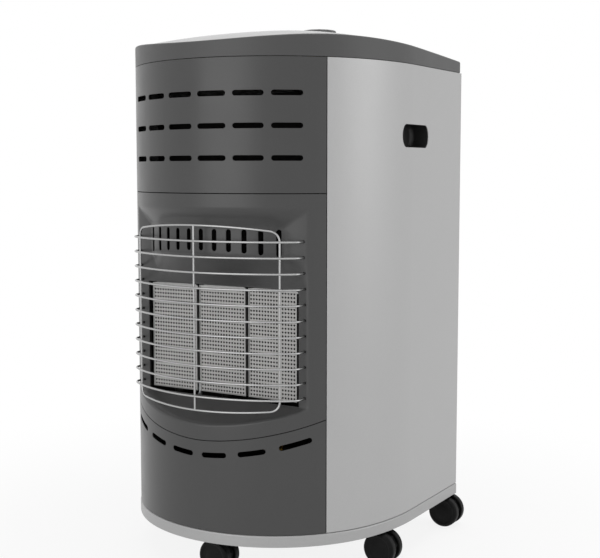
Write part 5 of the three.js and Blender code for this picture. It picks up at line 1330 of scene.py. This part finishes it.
@dataclass
class WireGuard:
    """The chrome guard: level row wires in front of a closed loop and a middle wire."""

    radius: float = 230.0
    front_y: float = -210.1
    end_x: float = 118.0
    leg_angle: float = 30.04
    loop_top: float = 424.2
    loop_low: float = 179.3
    top_bow: float = 8.0
    low_bow: float = 5.0
    corner: float = 14.0
    weld: float = 2.5
    wire: float = 1.45
    end_bend: float = 8.0
    end_reach: float = 9.0

    def at(self, angle: Points | float, z: Points | float, inset: float = 0.0) -> Points:
        """Points of the guard's own arc, or of one inside it, at angles in degrees."""
        turn = np.radians(np.asarray(angle, float))
        reach = self.radius - inset
        return np.stack([reach * np.sin(turn), self.front_y + self.radius - reach * np.cos(turn),
                         np.broadcast_to(z, turn.shape)], axis=-1)

    @staticmethod
    def rounded(start: Points, corner: Points, end: Points) -> Points:
        """A soft curve from a start, which it leaves out, past a corner to an end."""
        t = np.linspace(0, 1, 9)[1:, None]
        return (1 - t) ** 2 * start + 2 * t * (1 - t) * corner + t ** 2 * end

    def row(self) -> Points:
        """The path of the top row wire, its tips turned back into the panel."""
        end = math.degrees(math.asin(self.end_x / self.radius))
        arc = self.at(np.linspace(-end, end, 61), WIRE_TOP_Z)
        face_y = -math.sqrt(PLAN.front_radius ** 2 - WIRE_HOLE_X ** 2)
        rise = (WIRE_HOLE_X - self.end_x) * math.tan(math.radians(end))
        tips = []
        for side in (-1, 1):
            start = self.at(side * end, WIRE_TOP_Z)
            corner = np.array([side * WIRE_HOLE_X, start[1] + rise, WIRE_TOP_Z])
            curve = self.rounded(start, corner, corner + [0, self.end_bend, 0])
            tip = np.array([side * WIRE_HOLE_X, face_y + self.end_reach, WIRE_TOP_Z])
            tips.append(np.concatenate([curve, [tip]]))
        return np.concatenate([tips[0][::-1], arc, tips[1]])

    def loop(self) -> Points:
        """The path of the outer loop."""
        sag = lambda angle, bow: bow * (angle / self.leg_angle) ** 2
        spread = math.degrees(self.corner / self.radius)
        inner = self.leg_angle - spread
        angles = np.linspace(-inner, inner, 41)
        parts = [self.at(angles, self.loop_top - sag(angles, self.top_bow), self.weld)]
        levels = {1: (self.loop_top, self.top_bow), -1: (self.loop_low, self.low_bow)}
        for side, sign in ((1, 1), (1, -1), (-1, -1), (-1, 1)):
            z, bow = levels[sign]
            start = self.at(side * inner, z - sign * sag(inner, bow), self.weld)
            corner = self.at(side * self.leg_angle, z - sign * bow, self.weld)
            curve = self.rounded(start, corner, corner - [0, 0, sign * self.corner])
            parts.append(curve if side == sign else curve[::-1])
            if side == 1 and sign == -1:
                parts.append(self.at(angles[::-1], self.loop_low + sag(angles, self.low_bow),
                                     self.weld))
        return np.concatenate(parts)

    def tree(self) -> bpy.types.NodeTree:
        """The node tree that copies the row path down the guard and sweeps every path into wire."""
        tree = new_tree("sweep_wires", {"Paths": "Geometry", "Rows": "Int", "Pitch": "Float",
                                        "Wire Radius": "Float", "Finish": "Material"})
        given = add(tree, "NodeGroupInput").outputs
        marked = add(tree, "GeometryNodeInputNamedAttribute", {"data_type": "BOOLEAN"},
                     {"Name": "row_path"})
        parted = add(tree, "GeometryNodeSeparateGeometry", {"domain": "EDGE"}, {
            "Geometry": given["Paths"], "Selection": marked.outputs["Attribute"]})
        drop = add(tree, "ShaderNodeMath", {"operation": "MULTIPLY"}, {0: given["Pitch"], 1: -1.0})
        offset = add(tree, "ShaderNodeCombineXYZ", {}, {"Z": drop.outputs[0]})
        line = add(tree, "GeometryNodeMeshLine", {}, {
            "Count": given["Rows"], "Start Location": (0.0, 0.0, 0.0), "Offset": offset.outputs[0]})
        copies = add(tree, "GeometryNodeInstanceOnPoints", {}, {
            "Points": line.outputs["Mesh"], "Instance": parted.outputs["Selection"]})
        real = add(tree, "GeometryNodeRealizeInstances", {},
                   {"Geometry": copies.outputs["Instances"]})
        both = add(tree, "GeometryNodeJoinGeometry")
        tree.links.new(real.outputs["Geometry"], both.inputs[0])
        tree.links.new(parted.outputs["Inverted"], both.inputs[0])
        paths = add(tree, "GeometryNodeMeshToCurve", {}, {"Mesh": both.outputs["Geometry"]})
        ring = add(tree, "GeometryNodeCurvePrimitiveCircle", {},
                   {"Resolution": 10, "Radius": given["Wire Radius"]})
        swept = add(tree, "GeometryNodeCurveToMesh", {}, {
            "Curve": paths.outputs["Curve"], "Profile Curve": ring.outputs["Curve"],
            "Fill Caps": True})
        smooth = add(tree, "GeometryNodeSetShadeSmooth", {}, {"Geometry": swept.outputs["Mesh"]})
        whole = add(tree, "GeometryNodeRealizeInstances", {}, {"Geometry": smooth.outputs[0]})
        coated = add(tree, "GeometryNodeSetMaterial", {}, {
            "Geometry": whole.outputs["Geometry"], "Material": given["Finish"]})
        add(tree, "NodeGroupOutput", {}, {0: coated.outputs["Geometry"]})
        return tree

    def build(self) -> None:
        """Makes and dresses the guard."""
        middle = self.at(np.zeros(2), np.array([self.loop_top - 0.4, self.loop_low + 0.4]),
                         self.weld)
        points, edges, flags = [], [], []
        for path, closed, flag in ((self.row(), False, True), (self.loop(), True, False),
                                   (middle, False, False)):
            first, count = len(points), len(path)
            points += to_row(path).tolist()
            pairs = [(first + i, first + (i + 1) % count)
                     for i in range(count if closed else count - 1)]
            edges += pairs
            flags += [flag] * len(pairs)
        mesh = bpy.data.meshes.new("guard_wires")
        mesh.from_pydata(points, edges, [])
        mark = mesh.attributes.new("row_path", "BOOLEAN", "EDGE")
        mark.data.foreach_set("value", flags)
        piece = placed("guard_wires", mesh)
        grown(piece, self.tree(), {"Rows": WIRE_ROWS, "Pitch": WIRE_PITCH * MM,
                                   "Wire Radius": self.wire * MM, "Finish": CHROME.build()})
        dress(piece, CHROME, "cabinet", "wire_guard")


# ---- burner --------------------------------------------------------------------------------


@dataclass
class Plaques:
    """Three ceramic plaques, each with a field of small flame ports."""

    head_pitch: float = 81.0
    front_y: float = -142.9
    thickness: float = 12.0
    half: float = 36.5
    low: float = 191.5
    high: float = 336.8
    columns: int = 16
    rows: int = 28
    port_radius: float = 1.45
    port_depth: float = 3.0
    margin: float = 0.2
    bevel: float = 0.1
    strip_low: float = 334.9
    strip_high: float = 339.2
    strip_half: float = 37.6
    strip_shift: float = 3.0
    strip_chamfer: float = 5.0
    strip_front: float = -143.9
    strip_sheet: float = 0.6
    strip_edge: float = 0.15

    def tile(self, width: float, height: float) -> bpy.types.Object:
        """One port and the flat round it, facing the front, as a hidden stamp."""
        turns = np.radians(np.arange(8) * 45 + 22.5)
        ring = np.stack([np.cos(turns), np.sin(turns)], axis=-1)
        w, h = width / 2, height / 2
        frame_points = np.array([[w, h / 2], [w / 2, h], [-w / 2, h], [-w, h / 2], [-w, -h / 2],
                                 [-w / 2, -h], [w / 2, -h], [w, -h / 2]])
        corners = np.array([[w, h], [-w, h], [-w, -h], [w, -h]])
        lift = lambda flat, y: np.stack([flat[:, 0], np.full(len(flat), y), flat[:, 1]], axis=-1)
        points = np.concatenate([lift(frame_points, 0), lift(corners, 0),
                                 lift(ring * self.port_radius, 0),
                                 lift(ring * self.port_radius * 0.8, self.port_depth)])
        faces = [[i, (i + 1) % 8, 12 + (i + 1) % 8, 12 + i] for i in range(8)]
        faces += [[0, 8, 1], [2, 9, 3], [4, 10, 5], [6, 11, 7]]
        faces += [[12 + i, 12 + (i + 1) % 8, 20 + (i + 1) % 8, 20 + i] for i in range(8)]
        faces.append([20 + i for i in range(8)])
        mesh = bpy.data.meshes.new("port_stamp")
        mesh.from_pydata((points * MM).tolist(), [], faces)
        mesh.flip_normals()
        bore = mesh.attributes.new("bore", "BOOLEAN", "FACE")
        bore.data.foreach_set("value", [i >= 12 for i in range(len(faces))])
        return bpy.data.objects.new("port_stamp", mesh)

    def tree(self) -> bpy.types.NodeTree:
        """The node tree that sets the ports out in rows and columns and adds the plain block."""
        tree = new_tree("flame_ports", {
            "Block": "Geometry", "Columns": "Int", "Rows": "Int", "Width": "Float",
            "Height": "Float", "Centre": "Vector", "Stamp": "Object", "Finish": "Material",
            "Bore Finish": "Material"})
        given = add(tree, "NodeGroupInput").outputs
        grid = add(tree, "GeometryNodeMeshGrid", {}, {
            "Size X": given["Width"], "Size Y": given["Height"],
            "Vertices X": given["Columns"], "Vertices Y": given["Rows"]})
        upright = add(tree, "GeometryNodeTransform", {}, {
            "Geometry": grid.outputs["Mesh"], "Rotation": (math.pi / 2, 0.0, 0.0),
            "Translation": given["Centre"]})
        shape = add(tree, "GeometryNodeObjectInfo", {}, {"Object": given["Stamp"]})
        ports = add(tree, "GeometryNodeInstanceOnPoints", {}, {
            "Points": upright.outputs["Geometry"], "Instance": shape.outputs["Geometry"]})
        real = add(tree, "GeometryNodeRealizeInstances", {},
                   {"Geometry": ports.outputs["Instances"]})
        both = add(tree, "GeometryNodeJoinGeometry")
        tree.links.new(real.outputs["Geometry"], both.inputs[0])
        tree.links.new(given["Block"], both.inputs[0])
        welded = add(tree, "GeometryNodeMergeByDistance", {}, {
            "Geometry": both.outputs["Geometry"], "Distance": 2e-6})
        coated = add(tree, "GeometryNodeSetMaterial", {}, {
            "Geometry": welded.outputs["Geometry"], "Material": given["Finish"]})
        # The bores take the dark finish, painted shade of the deep ports.
        inner = add(tree, "GeometryNodeInputNamedAttribute", {"data_type": "BOOLEAN"},
                    {"Name": "bore"})
        port_shaded = add(tree, "GeometryNodeSetMaterial", {}, {
            "Geometry": coated.outputs["Geometry"], "Selection": inner.outputs["Attribute"],
            "Material": given["Bore Finish"]})
        add(tree, "NodeGroupOutput", {}, {0: port_shaded.outputs["Geometry"]})
        return tree

    def block(self, x: float, half_w: float, half_h: float) -> bpy.types.Mesh:
        """The plaque without its port field, the field's edge split as the ports are."""
        def splits(half: float, count: int) -> Points:
            """Where the ports' tiles split one edge of the field."""
            pitch = half * 2 / count
            centres = (np.arange(count) - (count - 1) / 2) * pitch
            marks = [centres - pitch / 2, centres - pitch / 4, centres + pitch / 4, [half]]
            return np.sort(np.concatenate(marks))

        middle, half_z = (self.low + self.high) / 2, (self.high - self.low) / 2
        us, vs = splits(half_w, self.columns), splits(half_h, self.rows)
        loop = [(u, -half_h) for u in us] + [(half_w, v) for v in vs[1:]]
        loop += [(u, half_h) for u in us[::-1][1:]] + [(-half_w, v) for v in vs[::-1][1:-1]]
        inner = np.array(loop)
        outer = inner * [self.half / half_w, half_z / half_h]
        rim = inner * [(self.half - self.bevel) / half_w, (half_z - self.bevel) / half_h]
        rings = []
        for flat, y in ((inner, 0.0), (rim, 0.0), (outer, 1.0), (outer, self.thickness)):
            depth = np.full(len(flat), self.front_y + y)
            rings.append(np.stack([x + flat[:, 0], depth, middle + flat[:, 1]], axis=-1))
        count = len(inner)
        faces = ring_faces(4, count, False, False)
        faces.append([3 * count + j for j in range(count)])
        mesh = bpy.data.meshes.new("plaque")
        mesh.from_pydata(to_row(np.concatenate(rings)).tolist(), [], faces)
        return mesh

    def build(self) -> None:
        """Makes and dresses the three plaques."""
        half_w = self.half - self.margin
        half_h = (self.high - self.low) / 2 - self.margin
        width, height = 2 * half_w / self.columns, 2 * half_h / self.rows
        stamp = self.tile(width, height)
        tree = self.tree()
        for i in range(3):
            x = (i - 1) * self.head_pitch
            piece = placed(f"plaque_{i + 1}", self.block(x, half_w, half_h))
            centre = to_row(np.array([x, self.front_y, (self.low + self.high) / 2]))
            grown(piece, tree, {
                "Columns": self.columns, "Rows": self.rows, "Width": (2 * half_w - width) * MM,
                "Height": (2 * half_h - height) * MM, "Centre": centre.tolist(), "Stamp": stamp,
                "Finish": CERAMIC.build(), "Bore Finish": PORT_BORE.build()})
            build = bmesh.new()
            build.from_mesh(piece.data)
            bmesh.ops.recalc_face_normals(build, faces=build.faces[:])
            build.to_mesh(piece.data)
            build.free()
            dress(piece, CERAMIC, "cabinet", f"ceramic_plaque_{i + 1}")
            self.strip(i, x)
        bpy.data.objects.remove(stamp)

    def strip(self, i: int, x: float) -> None:
        """Makes the bright strip that holds one plaque's top edge.

        Args:
            i: The plaque's number from the left, from nought.
            x: Its centre.
        """
        half, cut = self.strip_half, self.strip_chamfer
        x += self.strip_shift
        outline = np.array([[x - half, self.strip_low], [x + half, self.strip_low],
                            [x + half, self.strip_high - cut / 2],
                            [x + half - cut, self.strip_high],
                            [x - half + cut, self.strip_high],
                            [x - half, self.strip_high - cut / 2]])
        bend = lambda u, v, w: np.stack([u, self.strip_front + w, v], axis=-1)
        sheet = Sheet(outline, [], [], [], bend, self.strip_sheet, 0.0, self.strip_edge)
        piece = sheets_object(f"plaque_strip_{i + 1}", [sheet], ALUMINISED, ALUMINISED)
        dress(piece, ALUMINISED, "cabinet")


# ---- rear door -----------------------------------------------------------------------------


@dataclass
class RearDoor:
    """The rear door: a pressed bulge for the bottle, air slots, a finger pull and two knuckles."""

    gap: float = 0.6
    bulge: float = 23.4
    bulge_half: float = 172.0
    slope: float = 34.0
    margin: float = 26.0
    vent_length: float = 64.0
    vent_height: float = 7.0
    vent_pitch_x: float = 84.0
    vent_pitch_z: float = 16.0
    vent_inset: float = 76.0
    pull_x: float = 182.4
    pull_z: float = 407.85
    pull_length: float = 60.0
    pull_width: float = 13.0
    soft: float = 5.0
    hinge_x: float = -196.8
    hinge_y: float = 189.37
    hinge_inset: float = 90.0
    barrel: float = 4.0
    barrel_length: float = 16.0
    pin: float = 2.3

    @property
    def half(self) -> float:
        """Half of the door's width."""
        return PLAN.half_width - REAR_RETURN - self.gap

    def swell(self, x: Points, z: Points) -> Points:
        """How far the door stands out behind the cabinet, its corners softened."""
        low, high = TRAY_HEIGHT + self.gap, BODY_TOP - self.gap
        total = np.zeros_like(x)
        for i, j in SOFTEN:
            u, v = x + i * self.soft, z + j * self.soft
            flat = self.bulge_half - self.slope
            side = np.clip((self.bulge_half - np.abs(u)) / self.slope, 0, 1)
            crown = 0.62 + 0.38 * (1 - np.clip(np.abs(u) / flat, 0, 1) ** 2)
            rise = np.clip((v - low - self.margin) / self.slope, 0, 1) * np.clip(
                (high - self.margin - v) / self.slope, 0, 1)
            total += side * crown * rise
        return self.bulge * total / len(SOFTEN)

    def build(self) -> None:
        """Makes and dresses the door."""
        low, high = TRAY_HEIGHT + self.gap, BODY_TOP - self.gap
        holes = []
        for row in range(3):
            for column in (-1, 0, 1):
                inset = self.vent_inset + row * self.vent_pitch_z
                for z in (low + inset, high - inset):
                    holes.append(slot_loop(column * self.vent_pitch_x, z, self.vent_length,
                                           self.vent_height))
        loop = slot_loop(0, 0, self.pull_length, self.pull_width, 0.0, 10)
        holes.append(np.stack([self.pull_x - loop[:, 1], self.pull_z + loop[:, 0]], axis=-1))
        fine = lambda at: [at - 7.5, at - 5, at - 2.5, at, at + 2.5, at + 5, at + 7.5]
        shoulders = fine(self.bulge_half - self.slope) + fine(self.bulge_half)
        across = steps(-130, 130, 10) + [s * v for v in shoulders for s in (-1, 1)] + [-155, 155]
        upward = fine(low + self.margin) + fine(low + self.margin + self.slope)
        upward += fine(high - self.margin) + fine(high - self.margin - self.slope)
        upward += [low + self.margin + 17, high - self.margin - 17] + steps(low + 80, high - 80, 40)
        bend = lambda x, z, w: np.stack([x, PLAN.rear_y + self.swell(x, z) - w, z], axis=-1)
        outline = box_loop(-self.half, self.half, low, high)
        build = bmesh.new()
        Sheet(outline, holes, across, upward, bend).build(build)
        for z in (low + self.hinge_inset, high - self.hinge_inset):
            z0, z1 = z + FIT, z + FIT + self.barrel_length
            r, b = self.barrel, self.pin
            profile = [(b, z0), (r - 0.4, z0), (r, z0 + 0.4), (r, z1 - 0.4), (r - 0.4, z1), (b, z1)]
            build.from_mesh(solid_mesh("barrel",
                                       *turned(profile, (self.hinge_x, self.hinge_y, 0.0), 28)))
            loop = box_loop(PLAN.rear_y + 0.02, PLAN.rear_y + 1.5, z0, z1)
            wrap = [np.column_stack([np.full(4, x), loop])
                    for x in (self.hinge_x + 3.0, -self.half + 12)]
            build.from_mesh(solid_mesh("wrap", np.concatenate(wrap), ring_faces(2, 4, False)))
        skin = shaded(finished(build, "door_skin"), "door_skin")
        dress(skin, SILVER_COAT, "door", "rear_door")


# ---- castors -------------------------------------------------------------------------------


@dataclass
class CastorWheels:
    """The ten wheels of five twin-wheel castors, each with a raised ring and a domed hub."""

    wheel_radius: float = 23.7
    wheel_width: float = 11.7
    centre_z: float = -24.8
    inner_y: float = 5.6
    trail: float = 13.0
    bore: float = 3.4
    bore_depth: float = 8.9

    def wheel(self, name: str, end: str, x: float, y: float, face: int) -> None:
        """Makes one wheel.

        Args:
            name: The castor's name.
            end: The wheel's end of the axle, "front" or "rear".
            x: Axle centre across.
            y: Castor centre in depth.
            face: 1 where the wheel's outer face points to the rear, -1 to the front.
        """
        r, w = self.wheel_radius - 0.6, self.wheel_width
        shape = [(0.0, self.bore_depth), (self.bore, self.bore_depth), (self.bore, 0.0),
                 (r - 1.6, 0.0)]
        shape += round_corner((r - 1.6, 1.6), 1.6, -67.5, 0, 3)
        shape += round_corner((r - 4.6, w - 4.6), 4.6, 0, 78, 6)
        shape += [(r - 5.4, w - 0.3), (r - 6.2, w - 0.9), (r - 7.2, w - 1.1), (12.0, w - 1.1),
                  (10.6, w - 0.9), (8.5, w - 0.35), (5.0, w - 0.08), (0.0, w)]
        profile = [(radius, face * depth) for radius, depth in shape]
        centre = (x, y + face * self.inner_y, self.centre_z)
        title = f"wheel_{name}_{end}_tread"
        piece = shaded(solid_mesh(title, *turned(profile, centre, 44, "y")), title)
        dress(piece, BLACK_TREAD, f"wheel_{name}_{end}", f"castor_{name}_wheel_{end}")

    def build(self) -> None:
        """Makes every castor's wheels."""
        for name, x, y, trail in CASTOR_PLACES:
            for end, face in (("front", -1), ("rear", 1)):
                self.wheel(name, end, x + trail * self.trail, y, face)


# ---- carried-over nodes, lights and camera ---------------------------------------------------


KEPT: dict[str, Finish] = {
    "burner_head": HEAD_SHEET, "burner_carrier": SOOT_AND_SHADE, "gas_manifold": BRASS,
    "supply_pipe": SOOT_AND_SHADE,
    "pilot_assembly": ZINC, "heat_shield": HEAT_AND_SHADE_DARKENED, "top_rail": ZINC, "gas_valve": BRASS,
    "valve_spindle": ZINC, "hinge_bracket": ZINC, "door_magnet": BLACK_PLASTIC,
    "castor": BLACK_PLASTIC,
}


def dress_kept_nodes() -> None:
    """Gives every frame node that stays in view its finish."""
    for name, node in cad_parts.items():
        for start, finish in KEPT.items():
            if name.startswith(start):
                look = ZINC if name.endswith("_stem") else finish
                for slot in node.material_slots:
                    slot.material = look.build()


@dataclass
class Studio:
    """A pale floor, soft lamps and the camera."""

    camera_place: tuple[float, float, float] = (0.8721, -1.3808, 0.5418)
    camera_turn: tuple[float, float, float] = (84.50, 0.0, 31.125)
    lens: float = 66.96
    floor_half: float = 6.0
    ambient: float = 0.5
    aim: tuple[float, float, float] = (0.0, 0.0, 0.38)

    def build(self) -> None:
        """Makes the stage."""
        scene = bpy.context.scene
        scene.view_settings.view_transform = "Standard"
        camera = placed("camera", bpy.data.cameras.new("camera"))
        camera.data.lens = self.lens
        camera.data.sensor_width = 36.0
        camera.location = self.camera_place
        camera.rotation_euler = [math.radians(a) for a in self.camera_turn]
        scene.camera = camera
        mesh = bpy.data.meshes.new("floor")
        half = self.floor_half
        corners = [(-half, -half, 0), (half, -half, 0), (half, half, 0), (-half, half, 0)]
        mesh.from_pydata(corners, [], [[0, 1, 2, 3]])
        mesh.materials.append(StudioPaper().build())
        floor = placed("floor", mesh)
        self.world()
        self.lamp("front", (-0.45, -3.2, 1.1), (2.4, 2.2), 20)
        self.lamp("right", (2.92, 0.68, 1.35), (2.0, 2.2), 14)
        self.lamp("top", (0.0, 0.2, 2.8), (2.2, 2.2), 20)

    def lamp(self, name: str, place: tuple[float, float, float], size: tuple[float, float],
             watts: float) -> None:
        """Adds one soft rectangular lamp aimed at the object.

        Args:
            name: The lamp's name.
            place: Its place.
            size: Its width and height.
            watts: Its power.
        """
        data = bpy.data.lights.new(name, "AREA")
        data.shape = "RECTANGLE"
        data.size, data.size_y = size
        data.energy = watts
        lamp = placed(name, data)
        lamp.location = place
        towards = Vector(self.aim) - Vector(place)
        lamp.rotation_euler = towards.to_track_quat("-Z", "Y").to_euler()

    def world(self) -> None:
        """A grey surround that lights softly and shows white to the camera and in mirrors."""
        world = bpy.data.worlds.new("surround")
        world.use_nodes = True
        tree = world.node_tree
        tree.nodes.clear()
        soft = add(tree, "ShaderNodeBackground", {}, {"Color": WHITE, "Strength": self.ambient})
        white = add(tree, "ShaderNodeBackground", {}, {"Color": WHITE, "Strength": 1.0})
        mixed = add(tree, "ShaderNodeMixShader", {}, {
            0: seen_directly(tree), 1: soft.outputs[0], 2: white.outputs[0]})
        add(tree, "ShaderNodeOutputWorld", {}, {"Surface": mixed.outputs[0]})
        bpy.context.scene.world = world


def main() -> None:
    """Builds the heater and its stage in order."""
    logging.basicConfig(level=logging.INFO, format="%(name)s %(message)s")
    Studio().build()
    for part in (UpperPanel(), LowerPanel(), BurnerSurround(), SidePanels(), BaseTray(), Lid(),
                 Knob(),
                 WireGuard(), Plaques(), RearDoor(), CastorWheels()):
        part.build()
    dress_kept_nodes()


if __name__ == "__main__":
    main()
